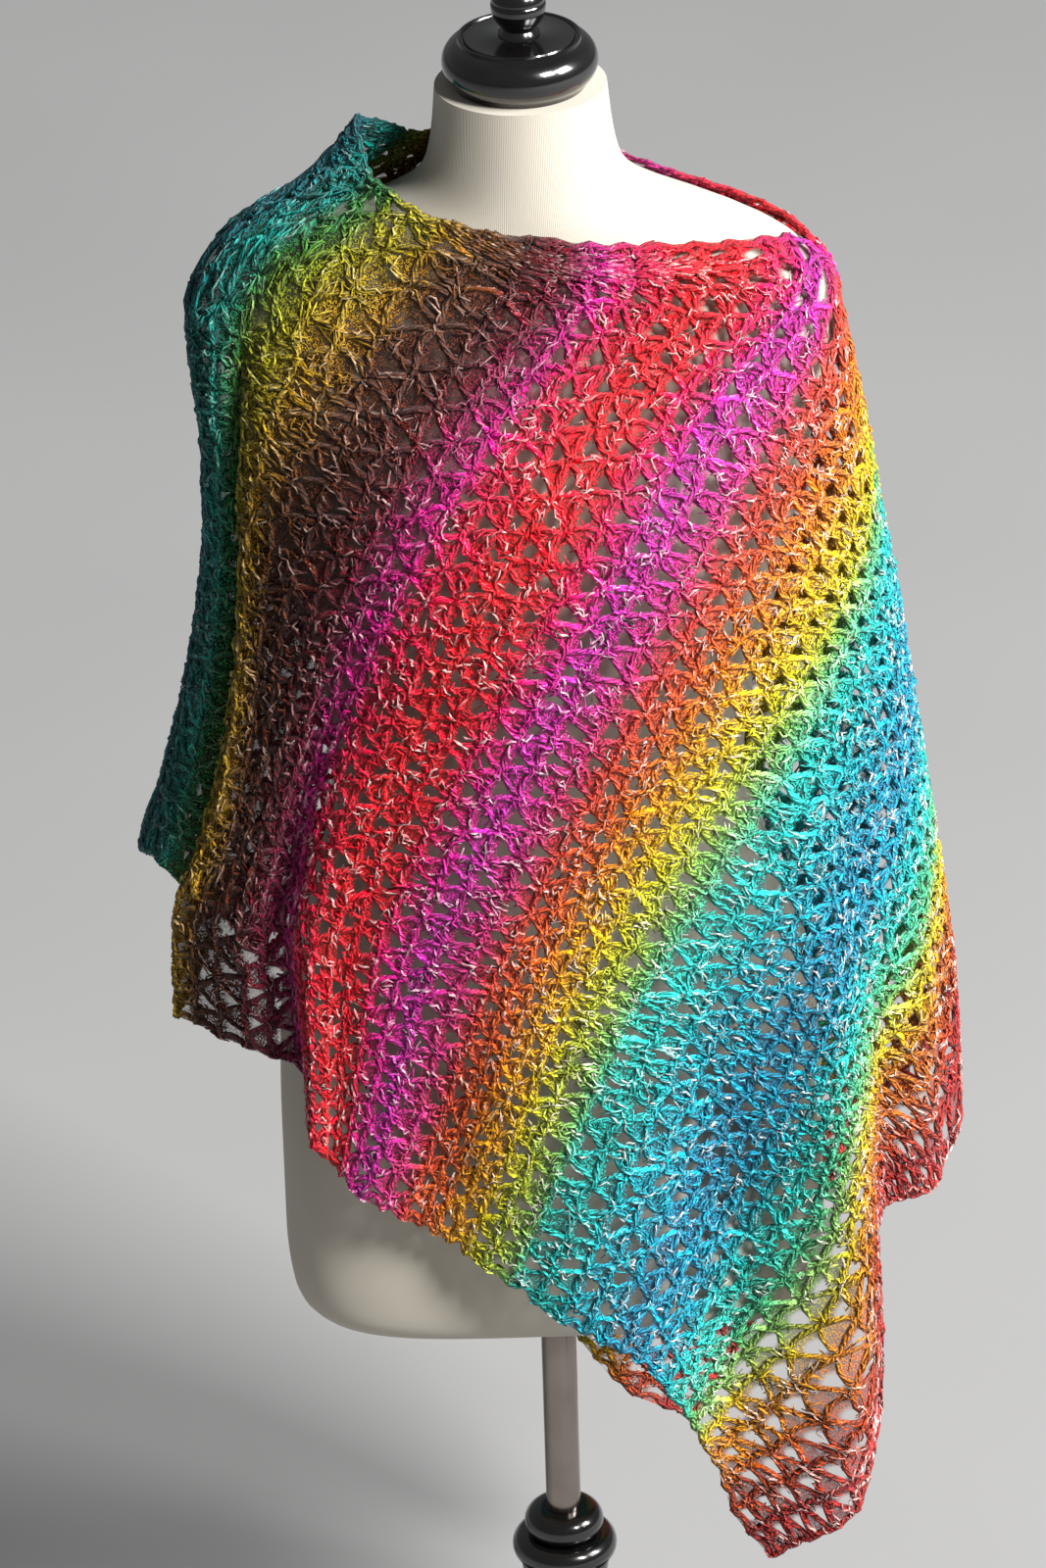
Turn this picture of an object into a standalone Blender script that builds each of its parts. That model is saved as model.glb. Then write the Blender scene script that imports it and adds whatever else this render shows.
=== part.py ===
"""Open-work poncho crocheted as one rectangle, worn by a limbless dress form.

Metres, +Z up. The origin is the centre of the stand's underside and the
front looks toward -Y. The rectangle is folded crosswise over the shoulder on
the -X side; its upper long edges leave the neck open and are then joined
down the +X side. Each panel is lofted in fabric measures: "along" runs from
the fold to the free short end, "down" from the upper edge to the hem.
"""
import bmesh
import bpy
import numpy as np

# Fabric.
PANEL_LENGTH = 0.80      # fold to free short end
CLOTH_WALL = 0.0020
SEAM_HALF_GAP = 0.00030  # each panel stops this far from the seam plane
FOLD_HALF_GAP = 0.0012   # the same where the neck edge peaks at the fold
FORM_CLEARANCE = 0.0019  # cloth mid-surface to the form
DRAW_IN_DEPTH = 0.20     # share of the row over which the neck edge is drawn in
PEAK_DEPTH = 0.30        # share of the row that the fold's peak reaches down
PEAK_WIDTH = 0.05        # and how far it reaches along the panel
FLAT_DEPTH = 0.12        # folds grow from nothing over this share of the row
FLAT_WIDTH = 0.02        # and over this distance from the fold
ROW_PLACES = 5

# Turned wood, tube and form.
FORM_SEGMENTS = 40
TURNED_STEPS = 28
SEAT_GAP = 0.0003
FORM_BOTTOM = 0.380
FORM_TOP = 1.188
POLE_RADIUS = 0.0111
COLLAR_TOP = 0.188

# Horizontal sections of the form, a superellipse each.
# Columns: height, half width, front, back, squareness.
FORM_RINGS = np.array((
    (0.380, 0.1440, 0.0920, 0.0960, 4.0),
    (0.385, 0.1560, 0.1050, 0.1090, 4.0),
    (0.400, 0.1655, 0.1140, 0.1180, 4.0),
    (0.430, 0.1685, 0.1170, 0.1220, 3.8),
    (0.500, 0.1685, 0.1180, 0.1260, 3.2),
    (0.570, 0.1660, 0.1160, 0.1260, 2.8),
    (0.640, 0.1490, 0.1050, 0.1110, 2.5),
    (0.700, 0.1300, 0.0940, 0.0960, 2.4),
    (0.740, 0.1240, 0.0910, 0.0900, 2.3),
    (0.800, 0.1310, 0.0990, 0.0930, 2.2),
    (0.860, 0.1460, 0.1150, 0.0970, 2.2),
    (0.915, 0.1580, 0.1250, 0.1000, 2.1),
    (0.965, 0.1690, 0.1130, 0.1030, 2.0),
    (1.000, 0.1790, 0.0960, 0.1020, 2.0),
    (1.025, 0.1830, 0.0840, 0.0970, 2.0),
    (1.048, 0.1815, 0.0745, 0.0900, 2.0),
    (1.066, 0.1750, 0.0675, 0.0830, 2.0),
    (1.080, 0.1620, 0.0620, 0.0760, 2.0),
    (1.092, 0.1430, 0.0580, 0.0700, 2.0),
    (1.104, 0.1150, 0.0550, 0.0650, 2.0),
    (1.115, 0.0860, 0.0525, 0.0600, 2.0),
    (1.126, 0.0670, 0.0510, 0.0560, 2.0),
    (1.140, 0.0575, 0.0500, 0.0530, 2.0),
    (1.162, 0.0530, 0.0490, 0.0505, 2.0),
    (1.188, 0.0505, 0.0480, 0.0490, 2.0),
))

# Horizontal sections of the hanging cloth before its folds.
# Columns: height, left, right, front, back.
DRAPE_RINGS = np.array((
    (0.160, 0.250, 0.240, 0.128, 0.132),
    (0.400, 0.250, 0.256, 0.145, 0.145),
    (0.570, 0.240, 0.251, 0.150, 0.146),
    (0.680, 0.246, 0.239, 0.148, 0.140),
    (0.725, 0.232, 0.233, 0.147, 0.136),
    (0.790, 0.215, 0.224, 0.145, 0.129),
    (0.850, 0.203, 0.216, 0.143, 0.123),
    (0.910, 0.196, 0.206, 0.140, 0.116),
    (0.965, 0.195, 0.198, 0.130, 0.112),
    (1.000, 0.198, 0.192, 0.115, 0.110),
    (1.030, 0.200, 0.186, 0.096, 0.100),
    (1.055, 0.200, 0.181, 0.082, 0.091),
    (1.072, 0.193, 0.174, 0.073, 0.084),
    (1.088, 0.183, 0.158, 0.066, 0.077),
    (1.110, 0.159, 0.112, 0.060, 0.067),
    (1.130, 0.129, 0.075, 0.057, 0.065),
    (1.147, 0.112, 0.066, 0.057, 0.062),
    (1.168, 0.095, 0.060, 0.056, 0.060),
))

# Crochet rows, fold to free end. "along" is the distance from the fold and
# "draw in" how near the upper edge comes to the neck (1 is the hanging section
# itself). Then, for five places down each row, the turn about the form in
# degrees (0 the joined side, 90 the middle, 180 the fold) and the height.
# Columns: along, draw in, turn 0, height 0, turn 1, height 1, turn 2, height 2,
# turn 3, height 3, turn 4, height 4.
FRONT_ROWS = np.array((
    (0.000, 1.00, 180, 1.168, 180, 1.069, 180, 0.944, 180, 0.815, 180, 0.682),
    (0.035, 0.86, 168, 1.150, 157, 1.075, 160, 0.950, 161, 0.822, 162, 0.700),
    (0.060, 0.81, 157, 1.140, 146, 1.073, 156, 0.952, 156, 0.815, 150, 0.670),
    (0.085, 0.83, 141, 1.136, 135, 1.062, 151, 0.935, 150, 0.780, 158, 0.600),
    (0.155, 1.00, 95, 1.118, 112, 1.014, 131, 0.885, 137, 0.740, 138, 0.596),
    (0.215, 1.00, 66, 1.108, 94, 1.010, 115, 0.894, 128, 0.740, 128, 0.560),
    (0.275, 1.00, 35, 1.098, 76, 1.008, 98, 0.892, 117, 0.728, 124, 0.530),
    (0.325, 1.00, 7, 1.087, 57, 1.008, 82, 0.890, 104, 0.732, 120, 0.511),
    (0.370, 1.00, 0, 1.052, 42, 0.978, 72, 0.856, 94, 0.706, 113, 0.495),
    (0.455, 1.00, 0, 0.957, 37, 0.878, 63, 0.790, 84, 0.664, 102, 0.466),
    (0.520, 1.00, 0, 0.886, 30, 0.806, 52, 0.710, 72, 0.606, 90, 0.428),
    (0.600, 1.00, 0, 0.797, 27, 0.716, 46, 0.636, 61, 0.527, 79, 0.391),
    (0.660, 1.00, 0, 0.728, 25, 0.657, 44, 0.592, 55, 0.462, 73, 0.346),
    (0.700, 1.00, 0, 0.684, 24, 0.610, 44, 0.536, 50, 0.424, 70, 0.318),
    (0.735, 1.00, 0, 0.645, 22, 0.565, 42, 0.490, 45, 0.382, 66, 0.282),
    (0.765, 1.00, 0, 0.607, 15, 0.525, 40, 0.462, 39, 0.346, 63, 0.246),
    (0.800, 1.00, 0, 0.571, 6, 0.474, 39, 0.440, 33, 0.300, 57, 0.213),
))
BACK_ROWS = np.array((
    (0.000, 1.00, 180, 1.168, 180, 1.069, 180, 0.944, 180, 0.815, 180, 0.682),
    (0.040, 0.76, 154, 1.152, 156, 1.068, 164, 0.935, 167, 0.800, 170, 0.665),
    (0.085, 0.74, 134, 1.142, 140, 1.052, 148, 0.912, 156, 0.770, 162, 0.640),
    (0.145, 0.98, 92, 1.134, 114, 1.024, 130, 0.880, 144, 0.740, 153, 0.608),
    (0.205, 1.00, 55, 1.116, 90, 1.000, 112, 0.855, 131, 0.715, 144, 0.570),
    (0.265, 1.00, 36, 1.099, 72, 0.990, 98, 0.845, 119, 0.700, 134, 0.530),
    (0.310, 1.00, 17, 1.088, 58, 0.988, 87, 0.848, 110, 0.695, 127, 0.500),
    (0.340, 1.00, 0, 1.080, 48, 0.992, 78, 0.850, 103, 0.690, 122, 0.480),
    (0.400, 1.00, 0, 1.019, 38, 0.925, 66, 0.790, 93, 0.625, 115, 0.425),
    (0.500, 1.00, 0, 0.908, 29, 0.812, 54, 0.675, 80, 0.520, 105, 0.355),
    (0.600, 1.00, 0, 0.797, 26, 0.700, 48, 0.580, 72, 0.430, 97, 0.290),
    (0.680, 1.00, 0, 0.706, 25, 0.600, 44, 0.490, 66, 0.370, 90, 0.245),
    (0.740, 1.00, 0, 0.637, 24, 0.540, 42, 0.440, 60, 0.330, 82, 0.208),
    (0.800, 1.00, 0, 0.571, 20, 0.485, 40, 0.395, 54, 0.285, 69, 0.165),
))

# Folds that follow the crochet rows.
# Columns: along, half width, starts down, full down, stand-off.
FRONT_ROW_FOLDS = np.array((
    (0.030, 0.022, 0.10, 0.50, 0.004),
    (0.062, 0.018, 0.10, 0.70, -0.018),
    (0.094, 0.024, 0.15, 0.80, 0.005),
    (0.190, 0.035, 0.45, 0.95, -0.018),
    (0.245, 0.035, 0.45, 0.95, 0.010),
))
BACK_ROW_FOLDS = np.array((
    (0.070, 0.025, 0.15, 0.80, -0.014),
    (0.200, 0.050, 0.35, 0.95, -0.014),
    (0.270, 0.040, 0.35, 0.95, 0.010),
))

# Folds that hang plumb.
# Columns: turn, half width, starting height, full height, stand-off.
FRONT_PLUMB_FOLDS = np.array((
    (14.0, 10.0, 0.70, 0.54, -0.006),
    (33.0, 9.0, 0.68, 0.50, -0.016),
    (46.0, 8.0, 0.78, 0.52, 0.013),
    (64.0, 14.0, 0.74, 0.46, -0.020),
    (84.0, 13.0, 0.70, 0.40, 0.008),
    (106.0, 12.0, 0.76, 0.50, -0.008),
))
BACK_PLUMB_FOLDS = np.array((
    (14.0, 8.0, 0.74, 0.50, -0.014),
    (30.0, 9.0, 0.80, 0.54, 0.010),
    (46.0, 9.0, 0.76, 0.44, -0.018),
    (62.0, 10.0, 0.80, 0.44, 0.012),
    (80.0, 11.0, 0.74, 0.40, -0.016),
    (100.0, 12.0, 0.80, 0.44, 0.010),
    (122.0, 12.0, 0.78, 0.50, -0.012),
))


def smooth_curve(knots, values, places):
    """Values at the places on a smooth curve that never overshoots its knots."""
    knots = np.asarray(knots, float)
    values = np.asarray(values, float)
    if values.ndim == 1:
        values = values[:, None]
    spans = np.diff(knots)[:, None]
    chords = np.diff(values, axis=0) / spans
    before, after = chords[:-1], chords[1:]
    same_way = before * after > 0.0
    total = np.where(same_way, before + after, 1.0)
    inner = np.where(same_way, 2.0 * before * after / total, 0.0)
    slopes = np.vstack((chords[:1], inner, chords[-1:]))
    flat = np.clip(np.asarray(places, float).ravel(), knots[0], knots[-1])
    cell = np.clip(np.searchsorted(knots, flat, side="right") - 1, 0, len(knots) - 2)
    span = spans[cell]
    part = (flat[:, None] - knots[cell][:, None]) / span
    result = values[cell] * (1.0 + 2.0 * part) * (1.0 - part) ** 2
    result += values[cell + 1] * part ** 2 * (3.0 - 2.0 * part)
    result += slopes[cell] * span * part * (1.0 - part) ** 2
    result += slopes[cell + 1] * span * part ** 2 * (part - 1.0)
    return result.reshape(np.shape(places) + (values.shape[1],))


def ease(value):
    """Zero below 0, one above 1, level at both ends."""
    value = np.clip(value, 0.0, 1.0)
    return value * value * (3.0 - 2.0 * value)


def swell(distance):
    """A round swell, one at its middle and zero from distance 1 out."""
    return np.where(np.abs(distance) < 1.0, 0.5 + 0.5 * np.cos(np.pi * distance), 0.0)


def form_reach(across, depth, height):
    """Distance from the axis to the form's skin, in the direction given."""
    ring = smooth_curve(FORM_RINGS[:, 0], FORM_RINGS[:, 1:], height)
    reach = np.maximum(np.hypot(across, depth), 1e-9)
    side = np.where(depth < 0.0, ring[..., 1], ring[..., 2])
    power = ring[..., 3]
    total = (np.abs(across / reach) / ring[..., 0]) ** power
    total += (np.abs(depth / reach) / side) ** power
    skin = total ** (-1.0 / power)
    return np.where(height < FORM_BOTTOM - FORM_CLEARANCE, 0.0, skin)


def panel_points(rows, row_folds, plumb_folds, facing, alongs, downs):
    """Mid-surface of a panel as an array (along, down, xyz); facing is -1 in front."""
    places = np.linspace(0.0, 1.0, ROW_PLACES)
    turns = smooth_curve(places, rows[:, 2::2].T, downs)
    heights = smooth_curve(places, rows[:, 3::2].T, downs)
    turn = smooth_curve(rows[:, 0], turns.T, alongs)
    height = smooth_curve(rows[:, 0], heights.T, alongs)
    along, down = np.meshgrid(alongs, downs, indexing="ij")

    stand_off = np.zeros_like(turn)
    for centre, half, starts, full, depth in row_folds:
        grown = ease((down - starts) / (full - starts))
        stand_off += depth * grown * swell((along - centre) / half)
    for centre, half, starts, full, depth in plumb_folds:
        grown = ease((starts - height) / (starts - full))
        stand_off += depth * grown * swell((turn - centre) / half)
    stand_off *= ease(down / FLAT_DEPTH) * ease(along / FLAT_WIDTH)

    ring = smooth_curve(DRAPE_RINGS[:, 0], DRAPE_RINGS[:, 1:], height)
    draw_in = smooth_curve(rows[:, 0], rows[:, 1], alongs)
    draw_in = 1.0 - (1.0 - draw_in) * (1.0 - ease(downs / DRAW_IN_DEPTH))
    ring = ring * draw_in[..., None]
    angle = np.radians(turn)
    reach_x = np.where(np.cos(angle) < 0.0, ring[..., 0], ring[..., 1])
    reach_y = ring[..., 2] if facing < 0.0 else ring[..., 3]
    out_x = np.cos(angle) / reach_x
    out_y = facing * np.sin(angle) / reach_y
    size = np.hypot(out_x, out_y)
    across = reach_x * np.cos(angle) + stand_off * out_x / size
    depth = facing * reach_y * np.sin(angle) + stand_off * out_y / size

    reach = np.hypot(across, depth)
    skin = form_reach(across, depth, height - FORM_CLEARANCE) + FORM_CLEARANCE
    scale = np.maximum(reach, skin) / np.maximum(reach, 1e-9)
    peak = (1.0 - ease(down / PEAK_DEPTH)) * (1.0 - ease(along / PEAK_WIDTH))
    half_gap = SEAM_HALF_GAP + (FOLD_HALF_GAP - SEAM_HALF_GAP) * peak
    depth = depth * scale + facing * half_gap
    return np.stack((across * scale, depth, height), axis=-1)


def spaced(*runs):
    """One rising series from runs of (start, end, number of steps)."""
    series = [runs[0][0]]
    for start, end, steps in runs:
        series.extend(np.linspace(start, end, steps + 1)[1:])
    return np.array(series)


def material(name, colour, roughness, metallic=0.0):
    """A plain Principled material of its own."""
    made = bpy.data.materials.new(name)
    made.use_nodes = True
    shader = made.node_tree.nodes["Principled BSDF"]
    shader.inputs["Base Color"].default_value = (*colour, 1.0)
    shader.inputs["Roughness"].default_value = roughness
    shader.inputs["Metallic"].default_value = metallic
    return made


def add_object(name, mesh, collection, finish):
    """Link a mesh as a named object with its finish."""
    made = bpy.data.objects.new(name, mesh)
    mesh.materials.append(finish)
    collection.objects.link(made)
    return made


def loft_mesh(name, sections, closed):
    """Quads between neighbouring sections; closed sections also get end faces."""
    bm = bmesh.new()
    lines = [[bm.verts.new(point) for point in section] for section in sections]
    for line, following in zip(lines, lines[1:]):
        count = len(line) if closed else len(line) - 1
        for step in range(count):
            nearby = (step + 1) % len(line)
            bm.faces.new((line[step], line[nearby], following[nearby], following[step]))
    if closed:
        bm.faces.new(reversed(lines[0]))
        bm.faces.new(lines[-1])
    bmesh.ops.recalc_face_normals(bm, faces=bm.faces)
    mesh = bpy.data.meshes.new(name)
    bm.to_mesh(mesh)
    bm.free()
    return mesh


def add_panel(name, points, collection, finish):
    """An open panel thickened evenly to both sides."""
    made = add_object(name, loft_mesh(name, points, False), collection, finish)
    wall = made.modifiers.new("wall", "SOLIDIFY")
    wall.thickness = CLOTH_WALL
    wall.offset = 0.0
    return made


def add_turned(name, profile, collection, finish):
    """A turned solid from a profile of (radius, height) running top to bottom."""
    mesh = bpy.data.meshes.new(name)
    bm = bmesh.new()
    line = [bm.verts.new((radius, 0.0, height)) for radius, height in profile]
    for upper, lower in zip(line, line[1:]):
        bm.edges.new((upper, lower))
    bm.to_mesh(mesh)
    bm.free()
    made = add_object(name, mesh, collection, finish)
    turning = made.modifiers.new("turning", "SCREW")
    turning.axis = "Z"
    turning.steps = TURNED_STEPS
    turning.render_steps = TURNED_STEPS
    turning.use_merge_vertices = True
    turning.merge_threshold = 0.0001
    return made


def round_bead(radius, height, bead, starts, ends, steps):
    """Points round a bead, angles in degrees from straight out, up positive."""
    angles = np.radians(np.linspace(starts, ends, steps + 1))
    middle = radius - bead
    return [(middle + bead * np.cos(a), height + bead * np.sin(a)) for a in angles]


def form_sections():
    """Rings of the dress form from hip to neck."""
    angles = np.linspace(0.0, 2.0 * np.pi, FORM_SEGMENTS, endpoint=False)
    sections = []
    for height, half_width, front, back, squareness in FORM_RINGS:
        power = 2.0 / squareness
        cosine, sine = np.cos(angles), np.sin(angles)
        across = half_width * np.sign(cosine) * np.abs(cosine) ** power
        side = np.where(sine < 0.0, front, back)
        depth = side * np.sign(sine) * np.abs(sine) ** power
        sections.append(np.stack((across, depth, np.full_like(across, height)), axis=-1))
    return sections


def neck_cap_profile():
    """Thick round-edged disc with a sunk top, and a ball finial on a waist."""
    seat = FORM_TOP + SEAT_GAP
    profile = [(0.0, 1.2532)]
    profile += round_bead(0.0163, 1.2368, 0.0163, 76, 20, 4)
    profile += [(0.0150, 1.2395)]
    profile += round_bead(0.0163, 1.2368, 0.0163, 2, -42, 3)
    profile += [(0.0120, 1.2215), (0.0128, 1.2176), (0.0322, 1.2176), (0.0330, 1.2162)]
    profile += [(0.0346, 1.2178), (0.0362, 1.2172)]
    profile += round_bead(0.0459, 1.2025, 0.0140, 62, -50, 7)
    profile += [(0.0390, seat), (0.0, seat)]
    return profile


def stand_base_profile():
    """Two-ring collar on a tapering post and a plain round foot."""
    profile = [(0.0, COLLAR_TOP), (0.0135, COLLAR_TOP)]
    profile += round_bead(0.0254, 0.1775, 0.0105, 68, -55, 6)
    profile += round_bead(0.0337, 0.1595, 0.0100, 58, -60, 6)
    profile += [(0.0285, 0.1480), (0.0240, 0.1050), (0.0235, 0.0700), (0.0300, 0.0450)]
    profile += [(0.0520, 0.0330), (0.1300, 0.0250)]
    profile += round_bead(0.1400, 0.0120, 0.0120, 60, -60, 4)
    profile += [(0.1300, 0.0), (0.0, 0.0)]
    return profile


def pole_profile():
    """Straight tube shown solid, from the collar to the form."""
    top = FORM_BOTTOM - SEAT_GAP
    bottom = COLLAR_TOP + SEAT_GAP
    return [(0.0, top), (POLE_RADIUS, top), (POLE_RADIUS, bottom), (0.0, bottom)]


def main():
    """Build every solid of the dressed form."""
    for existing in list(bpy.data.objects):
        bpy.data.objects.remove(existing, do_unlink=True)
    collection = bpy.data.collections.new("poncho_on_dress_form")
    bpy.context.scene.collection.children.link(collection)

    front_alongs = spaced((0.0, 0.11, 9), (0.11, 0.30, 8), (0.30, 0.42, 8),
                          (0.42, 0.66, 9), (0.66, PANEL_LENGTH, 8))
    back_alongs = spaced((0.0, 0.11, 6), (0.11, 0.28, 7), (0.28, 0.42, 9),
                         (0.42, PANEL_LENGTH, 14))
    front_downs = spaced((0.0, 0.16, 7), (0.16, 1.0, 16))
    back_downs = spaced((0.0, 0.16, 7), (0.16, 1.0, 15))
    front = panel_points(FRONT_ROWS, FRONT_ROW_FOLDS, FRONT_PLUMB_FOLDS, -1.0,
                         front_alongs, front_downs)
    back = panel_points(BACK_ROWS, BACK_ROW_FOLDS, BACK_PLUMB_FOLDS, 1.0,
                        back_alongs, back_downs)
    add_panel("front_panel", front, collection, material("front_yarn", (0.70, 0.10, 0.25), 0.9))
    add_panel("back_panel", back, collection, material("back_yarn", (0.10, 0.45, 0.50), 0.9))

    jersey = material("form_jersey", (0.90, 0.87, 0.80), 0.85)
    add_object("dress_form", loft_mesh("dress_form", form_sections(), True), collection, jersey)
    add_turned("neck_cap", neck_cap_profile(), collection,
               material("cap_lacquer", (0.01, 0.01, 0.01), 0.15))
    add_turned("pole", pole_profile(), collection,
               material("pole_chrome", (0.80, 0.80, 0.80), 0.15, 1.0))
    add_turned("stand_base", stand_base_profile(), collection,
               material("base_lacquer", (0.01, 0.01, 0.01), 0.15))


main()
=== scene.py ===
"""Crocheted mohair poncho on a limbless dress form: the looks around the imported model.

The poncho is a net of soft yarn laid stitch by stitch on the two hanging
panels, with short loose loops of the curly yarn over its strands and a thin
veil of nap between them. The form is cream jersey, its cap and foot are black
lacquer and its pole is polished steel.
"""
import logging
import math
from dataclasses import dataclass, field
from enum import Enum
from typing import Any, Dict, List, Optional, Sequence, Tuple, Union

import bmesh
import bpy
import numpy as np
from mathutils import Matrix, Vector

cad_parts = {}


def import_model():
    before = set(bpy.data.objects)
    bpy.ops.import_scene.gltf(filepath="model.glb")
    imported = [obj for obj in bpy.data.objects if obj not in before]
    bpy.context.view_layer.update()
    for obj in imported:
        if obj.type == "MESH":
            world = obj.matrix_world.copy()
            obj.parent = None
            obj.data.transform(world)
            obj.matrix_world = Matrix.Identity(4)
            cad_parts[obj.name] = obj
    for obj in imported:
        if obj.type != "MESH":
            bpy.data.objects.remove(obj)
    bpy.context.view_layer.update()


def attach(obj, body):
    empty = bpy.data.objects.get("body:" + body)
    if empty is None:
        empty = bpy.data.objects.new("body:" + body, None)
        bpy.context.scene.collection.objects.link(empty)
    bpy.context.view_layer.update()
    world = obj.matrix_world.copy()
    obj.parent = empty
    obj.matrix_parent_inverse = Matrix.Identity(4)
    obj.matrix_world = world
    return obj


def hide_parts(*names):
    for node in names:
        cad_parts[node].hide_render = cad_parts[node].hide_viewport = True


LOG = logging.getLogger("poncho")
BODY = "root"

# The hanging cloth, in metres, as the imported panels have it.
PANEL_LENGTH = 0.80
SEAM_HALF_GAP = 0.00030     # half the gap along the joined edge
FOLD_HALF_GAP = 0.0012      # half the gap at the fold's peak
FORM_CLEARANCE = 0.0019     # least way from the form's skin to the cloth's middle
DRAW_IN_DEPTH = 0.20        # shares of the way down: the neck edge's draw in,
PEAK_DEPTH = 0.30           # the fold's peak,
FLAT_DEPTH = 0.12           # and the part without folds
PEAK_WIDTH = 0.05           # metres from the fold: the peak
FLAT_WIDTH = 0.02           # and the part without folds
ROW_PLACES = 5
TINY = 1e-9

# The form and its stand.
SEAT_GAP = 0.0003
FORM_BOTTOM = 0.380
FORM_TOP = 1.188
POLE_RADIUS = 0.0111
COLLAR_TOP = 0.188

# Horizontal sections of the form: height, half width, front, back, squareness.
FORM_RINGS = np.array((
    (0.380, 0.1440, 0.0920, 0.0960, 4.0),
    (0.385, 0.1560, 0.1050, 0.1090, 4.0),
    (0.400, 0.1655, 0.1140, 0.1180, 4.0),
    (0.430, 0.1685, 0.1170, 0.1220, 3.8),
    (0.500, 0.1685, 0.1180, 0.1260, 3.2),
    (0.570, 0.1660, 0.1160, 0.1260, 2.8),
    (0.640, 0.1490, 0.1050, 0.1110, 2.5),
    (0.700, 0.1300, 0.0940, 0.0960, 2.4),
    (0.740, 0.1240, 0.0910, 0.0900, 2.3),
    (0.800, 0.1310, 0.0990, 0.0930, 2.2),
    (0.860, 0.1460, 0.1150, 0.0970, 2.2),
    (0.915, 0.1580, 0.1250, 0.1000, 2.1),
    (0.965, 0.1690, 0.1130, 0.1030, 2.0),
    (1.000, 0.1790, 0.0960, 0.1020, 2.0),
    (1.025, 0.1830, 0.0840, 0.0970, 2.0),
    (1.048, 0.1815, 0.0745, 0.0900, 2.0),
    (1.066, 0.1750, 0.0675, 0.0830, 2.0),
    (1.080, 0.1620, 0.0620, 0.0760, 2.0),
    (1.092, 0.1430, 0.0580, 0.0700, 2.0),
    (1.104, 0.1150, 0.0550, 0.0650, 2.0),
    (1.115, 0.0860, 0.0525, 0.0600, 2.0),
    (1.126, 0.0670, 0.0510, 0.0560, 2.0),
    (1.140, 0.0575, 0.0500, 0.0530, 2.0),
    (1.162, 0.0530, 0.0490, 0.0505, 2.0),
    (1.188, 0.0505, 0.0480, 0.0490, 2.0),
))

# Horizontal sections of the cloth before its folds: height, left, right, front, back.
DRAPE_RINGS = np.array((
    (0.160, 0.250, 0.240, 0.128, 0.132),
    (0.400, 0.250, 0.256, 0.145, 0.145),
    (0.570, 0.240, 0.251, 0.150, 0.146),
    (0.680, 0.246, 0.239, 0.148, 0.140),
    (0.725, 0.232, 0.233, 0.147, 0.136),
    (0.790, 0.215, 0.224, 0.145, 0.129),
    (0.850, 0.203, 0.216, 0.143, 0.123),
    (0.910, 0.196, 0.206, 0.140, 0.116),
    (0.965, 0.195, 0.198, 0.130, 0.112),
    (1.000, 0.198, 0.192, 0.115, 0.110),
    (1.030, 0.200, 0.186, 0.096, 0.100),
    (1.055, 0.200, 0.181, 0.082, 0.091),
    (1.072, 0.193, 0.174, 0.073, 0.084),
    (1.088, 0.183, 0.158, 0.066, 0.077),
    (1.110, 0.159, 0.112, 0.060, 0.067),
    (1.130, 0.129, 0.075, 0.057, 0.065),
    (1.147, 0.112, 0.066, 0.057, 0.062),
    (1.168, 0.095, 0.060, 0.056, 0.060),
))

# Crochet rows from the fold to the free end: along, draw in, then the turn in
# degrees and the height at five places down each row.
FRONT_ROWS = np.array((
    (0.000, 1.00, 180, 1.168, 180, 1.069, 180, 0.944, 180, 0.815, 180, 0.682),
    (0.035, 0.86, 168, 1.150, 157, 1.075, 160, 0.950, 161, 0.822, 162, 0.700),
    (0.060, 0.81, 157, 1.140, 146, 1.073, 156, 0.952, 156, 0.815, 150, 0.670),
    (0.085, 0.83, 141, 1.136, 135, 1.062, 151, 0.935, 150, 0.780, 158, 0.600),
    (0.155, 1.00, 95, 1.118, 112, 1.014, 131, 0.885, 137, 0.740, 138, 0.596),
    (0.215, 1.00, 66, 1.108, 94, 1.010, 115, 0.894, 128, 0.740, 128, 0.560),
    (0.275, 1.00, 35, 1.098, 76, 1.008, 98, 0.892, 117, 0.728, 124, 0.530),
    (0.325, 1.00, 7, 1.087, 57, 1.008, 82, 0.890, 104, 0.732, 120, 0.511),
    (0.370, 1.00, 0, 1.052, 42, 0.978, 72, 0.856, 94, 0.706, 113, 0.495),
    (0.455, 1.00, 0, 0.957, 37, 0.878, 63, 0.790, 84, 0.664, 102, 0.466),
    (0.520, 1.00, 0, 0.886, 30, 0.806, 52, 0.710, 72, 0.606, 90, 0.428),
    (0.600, 1.00, 0, 0.797, 27, 0.716, 46, 0.636, 61, 0.527, 79, 0.391),
    (0.660, 1.00, 0, 0.728, 25, 0.657, 44, 0.592, 55, 0.462, 73, 0.346),
    (0.700, 1.00, 0, 0.684, 24, 0.610, 44, 0.536, 50, 0.424, 70, 0.318),
    (0.735, 1.00, 0, 0.645, 22, 0.565, 42, 0.490, 45, 0.382, 66, 0.282),
    (0.765, 1.00, 0, 0.607, 15, 0.525, 40, 0.462, 39, 0.346, 63, 0.246),
    (0.800, 1.00, 0, 0.571, 6, 0.474, 39, 0.440, 33, 0.300, 57, 0.213),
))
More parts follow.
